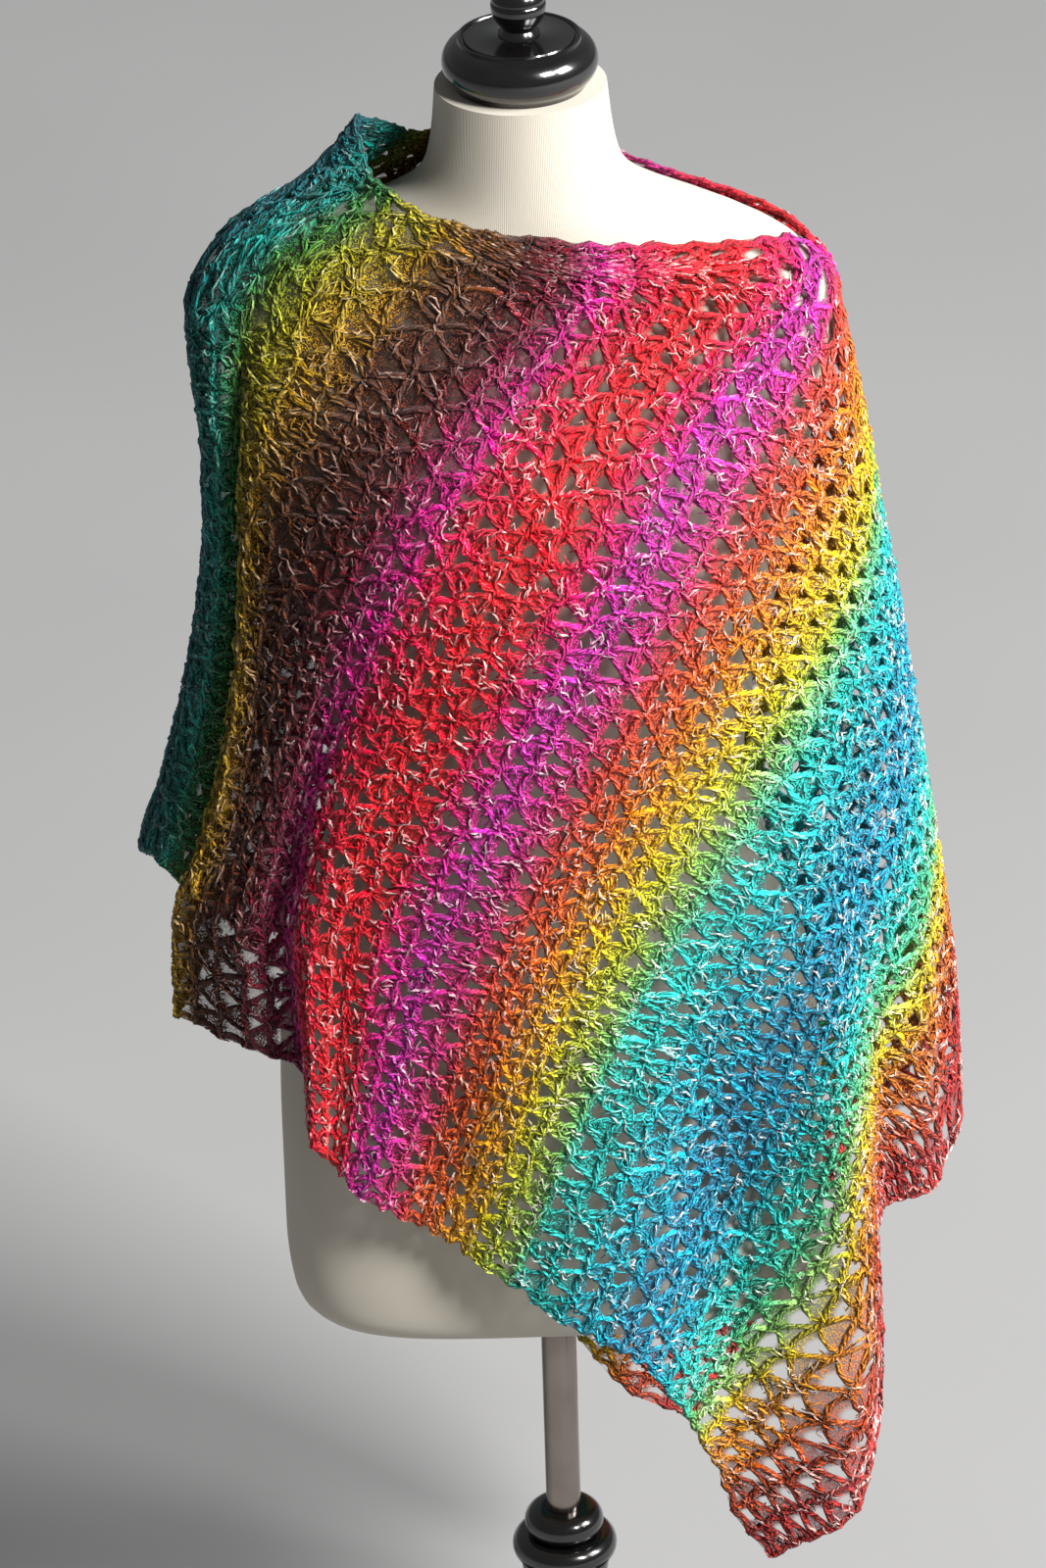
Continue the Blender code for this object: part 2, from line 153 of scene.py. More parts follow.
BACK_ROWS = np.array((
    (0.000, 1.00, 180, 1.168, 180, 1.069, 180, 0.944, 180, 0.815, 180, 0.682),
    (0.040, 0.76, 154, 1.152, 156, 1.068, 164, 0.935, 167, 0.800, 170, 0.665),
    (0.085, 0.74, 134, 1.142, 140, 1.052, 148, 0.912, 156, 0.770, 162, 0.640),
    (0.145, 0.98, 92, 1.134, 114, 1.024, 130, 0.880, 144, 0.740, 153, 0.608),
    (0.205, 1.00, 55, 1.116, 90, 1.000, 112, 0.855, 131, 0.715, 144, 0.570),
    (0.265, 1.00, 36, 1.099, 72, 0.990, 98, 0.845, 119, 0.700, 134, 0.530),
    (0.310, 1.00, 17, 1.088, 58, 0.988, 87, 0.848, 110, 0.695, 127, 0.500),
    (0.340, 1.00, 0, 1.080, 48, 0.992, 78, 0.850, 103, 0.690, 122, 0.480),
    (0.400, 1.00, 0, 1.019, 38, 0.925, 66, 0.790, 93, 0.625, 115, 0.425),
    (0.500, 1.00, 0, 0.908, 29, 0.812, 54, 0.675, 80, 0.520, 105, 0.355),
    (0.600, 1.00, 0, 0.797, 26, 0.700, 48, 0.580, 72, 0.430, 97, 0.290),
    (0.680, 1.00, 0, 0.706, 25, 0.600, 44, 0.490, 66, 0.370, 90, 0.245),
    (0.740, 1.00, 0, 0.637, 24, 0.540, 42, 0.440, 60, 0.330, 82, 0.208),
    (0.800, 1.00, 0, 0.571, 20, 0.485, 40, 0.395, 54, 0.285, 69, 0.165),
))

# Folds that follow the rows: along, half width, starts down, full down, stand-off.
FRONT_ROW_FOLDS = np.array((
    (0.030, 0.022, 0.10, 0.50, 0.004),
    (0.062, 0.018, 0.10, 0.70, -0.018),
    (0.094, 0.024, 0.15, 0.80, 0.005),
    (0.190, 0.035, 0.45, 0.95, -0.018),
    (0.245, 0.035, 0.45, 0.95, 0.010),
))
BACK_ROW_FOLDS = np.array((
    (0.070, 0.025, 0.15, 0.80, -0.014),
    (0.200, 0.050, 0.35, 0.95, -0.014),
    (0.270, 0.040, 0.35, 0.95, 0.010),
))

# Folds that hang plumb: turn, half width, starting height, full height, stand-off.
FRONT_PLUMB_FOLDS = np.array((
    (14.0, 10.0, 0.70, 0.54, -0.006),
    (33.0, 9.0, 0.68, 0.50, -0.016),
    (46.0, 8.0, 0.78, 0.52, 0.013),
    (64.0, 14.0, 0.74, 0.46, -0.020),
    (84.0, 13.0, 0.70, 0.40, 0.008),
    (106.0, 12.0, 0.76, 0.50, -0.008),
))
BACK_PLUMB_FOLDS = np.array((
    (14.0, 8.0, 0.74, 0.50, -0.014),
    (30.0, 9.0, 0.80, 0.54, 0.010),
    (46.0, 9.0, 0.76, 0.44, -0.018),
    (62.0, 10.0, 0.80, 0.44, 0.012),
    (80.0, 11.0, 0.74, 0.40, -0.016),
    (100.0, 12.0, 0.80, 0.44, 0.010),
    (122.0, 12.0, 0.78, 0.50, -0.012),
))

# The yarn's colours from the fold to the front panel's free end: centimetres
# along and a colour as screens show it.
YARN_STRIPES: Tuple[Tuple[float, Tuple[float, float, float]], ...] = (
    (0.0, (0.02, 0.48, 0.52)), (3.6, (0.03, 0.62, 0.56)), (5.4, (0.24, 0.54, 0.14)),
    # the dark brown stops at 11.2 and 14.2 cm are darker than the yarn's dye: partly painted shade
    # of the fold side
    (7.2, (0.70, 0.68, 0.01)), (9.4, (0.72, 0.56, 0.01)), (11.2, (0.44, 0.24, 0.01)),
    (14.2, (0.38, 0.08, 0.01)), (16.4, (0.50, 0.01, 0.14)), (18.4, (0.74, 0.01, 0.46)),
    (20.2, (0.88, 0.01, 0.60)), (21.8, (0.95, 0.01, 0.34)), (25.5, (0.99, 0.01, 0.12)),
    (28.8, (0.99, 0.03, 0.20)), (30.6, (0.96, 0.06, 0.52)), (32.6, (0.88, 0.16, 0.74)),
    (34.8, (0.92, 0.20, 0.64)), (36.8, (0.93, 0.28, 0.24)), (39.4, (0.94, 0.42, 0.03)),
    (41.6, (0.95, 0.60, 0.01)), (43.8, (0.98, 0.78, 0.01)), (46.0, (0.88, 0.86, 0.05)),
    (47.6, (0.60, 0.84, 0.44)), (49.2, (0.14, 0.84, 0.78)), (53.0, (0.01, 0.76, 0.82)),
    (57.4, (0.01, 0.64, 0.78)), (61.0, (0.01, 0.68, 0.80)), (64.8, (0.10, 0.84, 0.80)),
    (68.0, (0.38, 0.80, 0.52)), (70.6, (0.88, 0.80, 0.03)), (72.8, (0.88, 0.56, 0.01)),
    (75.4, (0.78, 0.32, 0.05)), (78.0, (0.74, 0.16, 0.14)),
)
# Where the back panel's rows take their colour from, in centimetres.
BACK_PLACES = (0.0, 23.0, 34.0, 80.0)
BACK_COLOURS = (0.0, 20.0, 29.6, 80.0)

# Waves of uneven hand tension, in rows and in stitches: size, turn with the
# stitch, turn with the row, start, and whether the panel shifts it.
ROW_WAVES = ((0.06, 0.91, 0.37, 0.0, 1), (0.04, 2.77, -1.93, 2.1, 0), (0.05, 3.7, 4.9, 0.0, 1))
STITCH_WAVES = ((0.07, 0.51, 0.87, 1.3, 1), (0.04, -2.3, 2.9, 0.0, 0), (0.05, 5.3, 4.1, 0.4, 0))

Number = Union[float, "Flow"]


def smooth_curve(knots: Sequence[float], values: Any, places: Any) -> np.ndarray:
    """Values on a smooth curve that never overshoots its knots.

    Args:
        knots: Rising places of the known values.
        values: One value, or one row of values, for each knot.
        places: Where the curve is read, of any shape.

    Returns:
        The curve's values, with one more axis than places.
    """
    knots = np.asarray(knots, float)
    values = np.asarray(values, float)
    if values.ndim == 1:
        values = values[:, None]
    spans = np.diff(knots)[:, None]
    chords = np.diff(values, axis=0) / spans
    before, after = chords[:-1], chords[1:]
    same_way = before * after > 0.0
    total = np.where(same_way, before + after, 1.0)
    inner = np.where(same_way, 2.0 * before * after / total, 0.0)
    slopes = np.vstack((chords[:1], inner, chords[-1:]))
    flat = np.clip(np.asarray(places, float).ravel(), knots[0], knots[-1])
    cell = np.clip(np.searchsorted(knots, flat, side="right") - 1, 0, len(knots) - 2)
    span = spans[cell]
    part = (flat[:, None] - knots[cell][:, None]) / span
    result = values[cell] * (1.0 + 2.0 * part) * (1.0 - part) ** 2
    result += values[cell + 1] * part ** 2 * (3.0 - 2.0 * part)
    result += slopes[cell] * span * part * (1.0 - part) ** 2
    result += slopes[cell + 1] * span * part ** 2 * (part - 1.0)
    return result.reshape(np.shape(places) + (values.shape[1],))


def ease(value: np.ndarray) -> np.ndarray:
    """Zero below 0, one above 1, level at both ends."""
    value = np.clip(value, 0.0, 1.0)
    return value * value * (3.0 - 2.0 * value)


def swell(distance: np.ndarray) -> np.ndarray:
    """A round swell, one at its middle and zero from distance 1 out."""
    return np.where(np.abs(distance) < 1.0, 0.5 + 0.5 * np.cos(np.pi * distance), 0.0)


def unit(vectors: np.ndarray) -> np.ndarray:
    """The vectors' directions, one long."""
    return vectors / np.maximum(np.linalg.norm(vectors, axis=-1, keepdims=True), TINY)


def form_reach(across: np.ndarray, depth: np.ndarray, height: np.ndarray) -> np.ndarray:
    """Distance from the axis to the form's skin, in the direction given.

    Args:
        across: X of the direction.
        depth: Y of the direction.
        height: Height of the section.

    Returns:
        The distance, zero below the form.
    """
    ring = smooth_curve(FORM_RINGS[:, 0], FORM_RINGS[:, 1:], height)
    reach = np.maximum(np.hypot(across, depth), TINY)
    side = np.where(depth < 0.0, ring[..., 1], ring[..., 2])
    power = ring[..., 3]
    total = (np.abs(across / reach) / ring[..., 0]) ** power
    total += (np.abs(depth / reach) / side) ** power
    skin = total ** (-1.0 / power)
    return np.where(height < FORM_BOTTOM - FORM_CLEARANCE, 0.0, skin)


def panel_points(rows: np.ndarray, row_folds: np.ndarray, plumb_folds: np.ndarray,
                 facing: float, alongs: np.ndarray, downs: np.ndarray) -> np.ndarray:
    """Mid-surface of a hanging panel.

    Args:
        rows: The table of crochet rows.
        row_folds: Folds that follow the rows.
        plumb_folds: Folds that hang plumb.
        facing: -1 for the front panel and 1 for the back one.
        alongs: Distances from the fold.
        downs: Shares of the way from the upper edge to the hem.

    Returns:
        An array (along, down, xyz).
    """
    places = np.linspace(0.0, 1.0, ROW_PLACES)
    turns = smooth_curve(places, rows[:, 2::2].T, downs)
    heights = smooth_curve(places, rows[:, 3::2].T, downs)
    turn = smooth_curve(rows[:, 0], turns.T, alongs)
    height = smooth_curve(rows[:, 0], heights.T, alongs)
    along, down = np.meshgrid(alongs, downs, indexing="ij")

    stand_off = np.zeros_like(turn)
    for folds, level, place in ((row_folds, down, along), (plumb_folds, height, turn)):
        for centre, half, starts, full, depth in folds:
            grown = ease((level - starts) / (full - starts))
            stand_off += depth * grown * swell((place - centre) / half)
    stand_off *= ease(down / FLAT_DEPTH) * ease(along / FLAT_WIDTH)

    ring = smooth_curve(DRAPE_RINGS[:, 0], DRAPE_RINGS[:, 1:], height)
    draw_in = smooth_curve(rows[:, 0], rows[:, 1], alongs)
    draw_in = 1.0 - (1.0 - draw_in) * (1.0 - ease(downs / DRAW_IN_DEPTH))
    ring = ring * draw_in[..., None]
    angle = np.radians(turn)
    reach_x = np.where(np.cos(angle) < 0.0, ring[..., 0], ring[..., 1])
    reach_y = ring[..., 2] if facing < 0.0 else ring[..., 3]
    out_x = np.cos(angle) / reach_x
    out_y = facing * np.sin(angle) / reach_y
    size = np.hypot(out_x, out_y)
    across = reach_x * np.cos(angle) + stand_off * out_x / size
    depth = facing * reach_y * np.sin(angle) + stand_off * out_y / size

    reach = np.hypot(across, depth)
    skin = form_reach(across, depth, height - FORM_CLEARANCE) + FORM_CLEARANCE
    scale = np.maximum(reach, skin) / np.maximum(reach, TINY)
    peak = (1.0 - ease(down / PEAK_DEPTH)) * (1.0 - ease(along / PEAK_WIDTH))
    half_gap = SEAM_HALF_GAP + (FOLD_HALF_GAP - SEAM_HALF_GAP) * peak
    depth = depth * scale + facing * half_gap
    return np.stack((across * scale, depth, height), axis=-1)


def linear(colour: Sequence[float]) -> Tuple[float, float, float, float]:
    """A colour as screens show it, as the linear colour that shaders take."""
    parts = [c / 12.92 if c <= 0.04045 else ((c + 0.055) / 1.055) ** 2.4 for c in colour]
    return (parts[0], parts[1], parts[2], 1.0)


class Flow:
    """A shader value that takes part in Python sums."""

    def __init__(self, tree: bpy.types.NodeTree, socket: bpy.types.NodeSocket) -> None:
        """Keep the tree and the socket that carries the value."""
        self.tree = tree
        self.socket = socket

    def maths(self, operation: str, *others: Number, first: Optional[Number] = None) -> "Flow":
        """Add one Math node.

        Args:
            operation: The node's operation.
            others: The inputs after this value.
            first: An input that comes before this value instead.

        Returns:
            The node's value.
        """
        node = self.tree.nodes.new("ShaderNodeMath")
        node.operation = operation
        values = ([first] if first is not None else []) + [self, *others]
        for socket, value in zip(node.inputs, values):
            if isinstance(value, Flow):
                self.tree.links.new(value.socket, socket)
            else:
                socket.default_value = value
        return Flow(self.tree, node.outputs[0])

    def __add__(self, other: Number) -> "Flow":
        """Sum."""
        return self.maths("ADD", other)

    __radd__ = __add__

    def __sub__(self, other: Number) -> "Flow":
        """Difference."""
        return self.maths("SUBTRACT", other)

    def __rsub__(self, other: Number) -> "Flow":
        """Difference from a number."""
        return self.maths("SUBTRACT", first=other)

    def __mul__(self, other: Number) -> "Flow":
        """Product."""
        return self.maths("MULTIPLY", other)

    __rmul__ = __mul__

    def __truediv__(self, other: Number) -> "Flow":
        """Quotient."""
        return self.maths("DIVIDE", other)

    def __pow__(self, other: Number) -> "Flow":
        """Power."""
        return self.maths("POWER", other)

    def wave(self) -> "Flow":
        """Sine."""
        return self.maths("SINE")

    def part(self) -> "Flow":
        """What is left over whole numbers."""
        return self.maths("FRACT")


class Finish:
    """One procedural material in the making."""

    def __init__(self, name: str) -> None:
        """Start a material with an output and a Principled shader."""
        self.material = bpy.data.materials.new(name)
        self.material.use_nodes = True
        self.tree = self.material.node_tree
        self.tree.nodes.clear()
        self.shader = self.node("ShaderNodeBsdfPrincipled", {}, {})
        end = self.node("ShaderNodeOutputMaterial", {}, {})
        self.tree.links.new(self.shader.outputs[0], end.inputs["Surface"])

    def node(self, kind: str, settings: Dict[str, Any],
             values: Dict[Union[str, int], Any]) -> bpy.types.Node:
        """Make any node.

        Args:
            kind: The node's type.
            settings: Properties set first; "stops" fills a colour ramp.
            values: Socket names or numbers with a value, a Flow or a socket.

        Returns:
            The node.
        """
        node = self.tree.nodes.new(kind)
        for key, value in settings.items():
            if key == "stops":
                band = node.color_ramp.elements
                while len(band) > 1:
                    band.remove(band[-1])
                band[0].position, band[0].color = value[0]
                for position, colour in value[1:]:
                    band.new(position).color = colour
            else:
                setattr(node, key, value)
        for key, value in values.items():
            self.feed(node.inputs[key], value)
        return node

    def feed(self, socket: bpy.types.NodeSocket, value: Any) -> None:
        """Link a Flow or a socket to an input, or set a plain value."""
        if isinstance(value, Flow):
            value = value.socket
        if isinstance(value, bpy.types.NodeSocket):
            self.tree.links.new(value, socket)
        else:
            socket.default_value = value

    def flow(self, socket: bpy.types.NodeSocket) -> Flow:
        """A socket as a value for sums."""
        return Flow(self.tree, socket)

    def place(self, scale: Sequence[float] = (1.0, 1.0, 1.0)) -> bpy.types.NodeSocket:
        """Object coordinates, scaled along X, Y and Z."""
        where = self.node("ShaderNodeTexCoord", {}, {})
        scaled = self.node("ShaderNodeMapping", {},
                           {"Vector": where.outputs["Object"], "Scale": tuple(scale)})
        return scaled.outputs[0]

    def map(self, name: str) -> Tuple[Flow, Flow]:
        """The first and second measure of one of the piece's own maps."""
        where = self.node("ShaderNodeUVMap", {"uv_map": name}, {})
        parts = self.node("ShaderNodeSeparateXYZ", {}, {0: where.outputs[0]})
        return self.flow(parts.outputs[0]), self.flow(parts.outputs[1])

    def noise(self, vector: Any, scale: float, detail: float = 2.0,
              roughness: float = 0.5) -> Flow:
        """Noise from 0 to 1, of a scale, octaves and their strength."""
        made = self.node("ShaderNodeTexNoise", {}, {
            "Vector": vector, "Scale": scale, "Detail": detail, "Roughness": roughness})
        return self.flow(made.outputs[0])

    def band(self, value: Number, low: float, high: float, start: float = 0.0,
             end: float = 1.0) -> Flow:
        """A value eased from the range low to high into start to end."""
        made = self.node("ShaderNodeMapRange", {"interpolation_type": "SMOOTHSTEP"}, {
            "Value": value, "From Min": low, "From Max": high, "To Min": start, "To Max": end})
        return self.flow(made.outputs[0])

    def mix(self, share: Number, under: Any, over: Any, kind: str = "MIX") -> bpy.types.NodeSocket:
        """A share of one colour over another."""
        made = self.node("ShaderNodeMix", {"data_type": "RGBA", "blend_type": kind},
                         {0: share, 6: under, 7: over})
        return made.outputs[2]

    def ramp(self, value: Number, stops: Sequence[Tuple[float, Any]]) -> bpy.types.NodeSocket:
        """Colours along a value."""
        return self.node("ShaderNodeValToRGB", {"stops": stops}, {0: value}).outputs[0]

    def enriched(self, colour: Any, share: float) -> bpy.types.NodeSocket:
        """A colour made stronger by itself."""
        return self.mix(share, colour, self.mix(1.0, colour, colour, "MULTIPLY"))

    def painted_glow(self, colour: Any, share: float, light: Sequence[float]) -> bpy.types.NodeSocket:
        """A colour brightened with painted glow, partly of its own hue, standing for light that
        shines through the yarn.
        """
        return self.mix(1.0, colour, self.mix(share, linear(light), colour), "ADD")

    def relief(self, height: Number, distance: float, strength: float = 1.0) -> bpy.types.NodeSocket:
        """A bump of the height given, in metres."""
        made = self.node("ShaderNodeBump", {}, {
            "Height": height, "Distance": distance, "Strength": strength})
        return made.outputs[0]

    def surface(self, **sockets: Any) -> None:
        """Feed Principled inputs, named with underscores for spaces."""
        for name, value in sockets.items():
            self.feed(self.shader.inputs[name.replace("_", " ")], value)


@dataclass(frozen=True)
class YarnFinish:
    """Loosely spun mohair and silk, dyed in long stripes."""

    name: str = "striped_yarn"
    drift: float = 0.010        # unevenness of the dye along the stripes
    plies: float = 4.0          # plies round a strand
    twist: float = 900.0        # their turn along it, in radians a metre
    tufts: float = 420.0        # fineness of the tufts
    loose_tone: float = 0.50    # strands lighter than this are loose loops
    # near-black colour of the painted shade between plies and tufts
    dark: Tuple[float, ...] = (0.004, 0.001, 0.003, 1.0)
    # pale tint of the silk flecks, also used for painted glints on the loops
    silk: Tuple[float, ...] = (1.0, 0.94, 0.91)
    rough: float = 0.80         # roughness of the net's strands
    gloss: float = 0.48         # how much smoother the loops are
    height: float = 0.0012      # relief of plies and tufts

    def dyed(self, finish: Finish, along: Flow, place: Any) -> bpy.types.NodeSocket:
        """The stripes' colour at a place along them, a little uneven."""
        stops = [(cm / (PANEL_LENGTH * 100.0), linear(rgb)) for cm, rgb in YARN_STRIPES]
        shift = (finish.noise(place, 70.0, 2.0) - 0.5) * self.drift
        return finish.ramp(along + shift, stops)

    def make(self) -> bpy.types.Material:
        """Build the yarn's material: painted shade between the net's plies and tufts, painted glow
        on the loops, silk and painted glints on the palest.
        """
        finish = Finish(self.name)
        place = finish.place()
        along, tone = finish.map("yarn")
        length, around = finish.map("strand")
        dye = self.dyed(finish, along, place)
        tufts = finish.noise(place, self.tufts, 3.0, 0.65)
        plies = (around * (2.0 * math.pi * self.plies) + length * self.twist
                 + finish.noise(place, 190.0, 2.0) * 11.0).wave()
        rich = finish.enriched(dye, 0.35)
        # painted shade: the net's strands go nearly black in the gaps between plies and tufts, where
        # shade falls
        painted_shade_colour = finish.mix(0.88, rich, self.dark)
        painted_shade_share = finish.band(plies, 0.1, -0.8) * 0.7 + finish.band(tufts, 0.54, 0.38) * 0.8
        bed = finish.mix(painted_shade_share.maths("MINIMUM", 0.92), rich, painted_shade_colour)
        # pale loops: partly the silk's own pale flecks, partly painted glints; they are fewer near
        # the fold, which paints shade on that side
        pale = finish.band(tone, 0.70, 0.94) * finish.band(along, 0.16, 0.30, 0.30, 0.85)
        # the loops are brighter than the dye: painted glow
        loop = finish.mix(pale, finish.painted_glow(dye, 0.65, (0.20, 0.19, 0.19)),
                          finish.mix(0.20, linear(self.silk), dye))
        loop = finish.mix(finish.band(tone, 0.52, 0.72, 0.9, 0.0), loop, dye)
        # painted shade on the loops, in the gaps between their tufts
        loop = finish.mix(finish.band(tufts, 0.48, 0.32) * 0.4, loop, painted_shade_colour)
        loose = finish.band(tone, self.loose_tone - 0.01, self.loose_tone + 0.01)
        finish.surface(
            Base_Color=finish.mix(loose, bed, loop), Roughness=self.rough - loose * self.gloss,
            Sheen_Weight=0.05, Sheen_Roughness=0.35, Specular_IOR_Level=0.5,
            Normal=finish.relief(plies * 0.6 + tufts, self.height, 0.9))
        return finish.material


@dataclass(frozen=True)
class NapFinish:
    """The veil of fine hairs between the strands, open where the holes are."""

    name: str = "yarn_nap"
    fineness: float = 230.0     # of the hairs
    swirl: float = 36.0         # how often a hair's line comes round
    hole_row: float = 0.46      # middle of a hole in its row
    hole_size: float = 0.34     # its half size in rows and stitches
    fold_side: Tuple[float, float] = (0.17, 0.29)   # stripes' shares where holes open up
    near_fold: float = 0.30     # how open the holes are before these shares,
    beyond: float = 0.97        # and past them
    # near-black colour of the painted shade between the hairs
    dark: Tuple[float, ...] = (0.008, 0.002, 0.006, 1.0)
    height: float = 0.0008      # relief of the hairs

    def make(self) -> bpy.types.Material:
        """Build the nap's material."""
        finish = Finish(self.name)
        place = finish.place()
        along, _ = finish.map("yarn")
        row, stitch = finish.map("stitch")
        hairs = (finish.noise(place, self.fineness, 2.0, 0.6) * self.swirl).wave()
        dye = YarnFinish().dyed(finish, along, place)
        # painted shade: the nap takes a stronger, darker dye than the strands and goes nearly black
        # in the troughs between its hairs
        colour = finish.mix(finish.band(hairs, 0.5, -0.7) * 0.85, finish.enriched(dye, 0.8),
                            self.dark)
        # painted glints: the hairs' crests are brightened with painted glow
        colour = finish.mix(finish.band(hairs, 0.62, 0.96) * 0.5, colour,
                            finish.painted_glow(dye, 0.5, (0.3, 0.28, 0.28)))
        across = (row.part() - self.hole_row) / self.hole_size
        beside = ((stitch + 0.5).part() - 0.5) / self.hole_size
        from_hole = (across * across + beside * beside) ** 0.5
        opened = (finish.band(from_hole, 0.50, 1.05, 1.0, 0.0)
                  * finish.band(along, *self.fold_side, self.near_fold, self.beyond))
        cover = ((1.0 - opened) * (finish.band(hairs, -0.9, -0.1) * 0.4 + 0.6)
                 * finish.band(along, *self.fold_side, 1.0, 0.85))
        finish.surface(Base_Color=colour, Roughness=0.85, Sheen_Weight=0.05,
                       Sheen_Roughness=0.4, Specular_IOR_Level=0.2, Alpha=cover,
                       Normal=finish.relief(hairs, self.height, 0.8))
        return finish.material


@dataclass(frozen=True)
class JerseyFinish:
    """Cream cotton jersey drawn over the form, with fine upright ribs at the neck."""

    name: str = "cream_jersey"
    ribs: float = 300.0
    ribs_from: float = 1.06     # heights between which the ribs come out
    ribs_full: float = 1.13

    def make(self) -> bpy.types.Material:
        """Build the jersey's material."""
        finish = Finish(self.name)
        place = finish.place()
        parts = finish.node("ShaderNodeSeparateXYZ", {}, {0: place})
        across, depth, height = (finish.flow(s) for s in parts.outputs)
        turn = depth.maths("ARCTAN2", across)
        rib = (turn * self.ribs).wave() * finish.band(height, self.ribs_from, self.ribs_full)
        knit = finish.noise(finish.place((900.0, 900.0, 1400.0)), 1.0, 2.0)
        soft = finish.noise(place, 9.0, 3.0)
        colour = finish.ramp(soft, [(0.3, linear((0.67, 0.645, 0.59))),
                                    (0.7, linear((0.71, 0.685, 0.635)))])
        # painted shade: the jersey is a little darker in the troughs of the ribs
        colour = finish.mix(finish.band(rib, -0.2, -1.0) * 0.10, colour,
                            linear((0.62, 0.58, 0.53)))
        finish.surface(
            Base_Color=colour, Roughness=finish.band(soft, 0.3, 0.7, 0.78, 0.86),
            Sheen_Weight=0.2, Sheen_Roughness=0.5, Specular_IOR_Level=0.25,
            Normal=finish.relief(rib + knit * 0.8, 0.00012, 0.5))
        return finish.material


@dataclass(frozen=True)
class LacquerFinish:
    """Turned wood under black gloss lacquer."""

    name: str = "black_lacquer"

    def make(self) -> bpy.types.Material:
        """Build the lacquer's material."""
        finish = Finish(self.name)
        place = finish.place()
        grain = finish.noise(finish.place((8.0, 8.0, 60.0)), 6.0, 3.0)
        smears = finish.noise(place, 14.0, 2.0)
        colour = finish.ramp(grain, [(0.35, linear((0.020, 0.018, 0.018))),
                                     (0.70, linear((0.050, 0.044, 0.042)))])
        finish.surface(
            Base_Color=colour, Roughness=finish.band(smears, 0.35, 0.75, 0.16, 0.26),
            Coat_Weight=0.8, Coat_Roughness=0.08,
            Normal=finish.relief(finish.noise(place, 90.0, 2.0), 0.00015, 0.5))
        return finish.material


@dataclass(frozen=True)
class SteelFinish:
    """Polished steel tube with faint draw lines."""

    name: str = "polished_steel"

    def make(self) -> bpy.types.Material:
        """Build the steel's material."""
        finish = Finish(self.name)
        lines = finish.noise(finish.place((900.0, 900.0, 6.0)), 1.0, 2.0)
        haze = finish.noise(finish.place(), 20.0, 2.0)
        colour = finish.ramp(haze, [(0.3, linear((0.50, 0.46, 0.43))),
                                    (0.7, linear((0.62, 0.58, 0.55)))])
        finish.surface(
            Base_Color=colour, Metallic=1.0,
            Roughness=finish.band(lines, 0.3, 0.7, 0.14, 0.24),
            Normal=finish.relief(lines, 0.00002, 0.4))
        return finish.material


@dataclass(frozen=True)
class FloorFinish:
    """Matt pale grey studio floor."""

    name: str = "studio_floor"
    tone: float = 0.56

    def make(self) -> bpy.types.Material:
        """Build the floor's material."""
        finish = Finish(self.name)
        cloud = finish.noise(finish.place(), 1.4, 2.0)
        low, high = self.tone - 0.01, self.tone + 0.01
        colour = finish.ramp(cloud, [(0.3, linear((low, low, low))),
                                     (0.7, linear((high, high, high)))])
        finish.surface(Base_Color=colour, Roughness=0.9, Specular_IOR_Level=0.1)
        return finish.material


class Side(Enum):
    """The poncho's two panels, and the way that each faces."""

    FRONT = -1.0
    BACK = 1.0


def link(name: str, mesh: bpy.types.Mesh, finish: bpy.types.Material) -> bpy.types.Object:
    """Put a mesh in the scene as a piece with its finish.

    Args:
        name: The piece's name.
        mesh: Its mesh, in place.
        finish: Its material.

    Returns:
        The piece.
    """
    mesh.materials.clear()
    mesh.materials.append(finish)
    piece = bpy.data.objects.new(name, mesh)
    bpy.context.scene.collection.objects.link(piece)
    return piece


def join_in(piece: bpy.types.Object, node: str, replaces: bool = True) -> None:
    """Let a piece ride the body, hiding the CAD node that it replaces.

    Args:
        piece: The piece.
        node: The CAD node.
        replaces: Whether it replaces the node, which is then hidden.
    """
    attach(piece, BODY)
    if replaces:
        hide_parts(node)


def shaped(name: str, bm: bmesh.types.BMesh, crease: float = 180.0) -> bpy.types.Mesh:
    """A smooth mesh from a bmesh, which is freed.

    Args:
        name: The mesh's name.
        bm: The bmesh.
        crease: The angle in degrees from which an edge is sharp.

    Returns:
        The mesh.
    """
    mesh = bpy.data.meshes.new(name)
    bm.to_mesh(mesh)
    bm.free()
    mesh.shade_smooth()
    mesh.set_sharp_from_angle(angle=math.radians(crease))
    return mesh


def faces_mesh(name: str, points: np.ndarray, faces: Sequence[np.ndarray],
               maps: Dict[str, np.ndarray]) -> bpy.types.Mesh:
    """A smooth mesh with its own maps.

    Args:
        name: The mesh's name.
        points: Its points.
        faces: Arrays of faces, each with one number of corners.
        maps: For each map, two measures for every corner of every face.

    Returns:
        The mesh.
    """
    sizes = np.concatenate([np.full(len(part), part.shape[1]) for part in faces])
    corners_of = np.concatenate([part.ravel() for part in faces])
    mesh = bpy.data.meshes.new(name)
    mesh.vertices.add(len(points))
    mesh.vertices.foreach_set("co", points.astype(np.float32).ravel())
    mesh.loops.add(len(corners_of))
    mesh.loops.foreach_set("vertex_index", corners_of.astype(np.int32))
    mesh.polygons.add(len(sizes))
    starts = np.concatenate(((0,), np.cumsum(sizes)[:-1]))
    mesh.polygons.foreach_set("loop_start", starts.astype(np.int32))
    mesh.update(calc_edges=True)
    for key, values in maps.items():
        layer = mesh.uv_layers.new(name=key)
        layer.data.foreach_set("uv", values.astype(np.float32).ravel())
    mesh.shade_smooth()
    return mesh


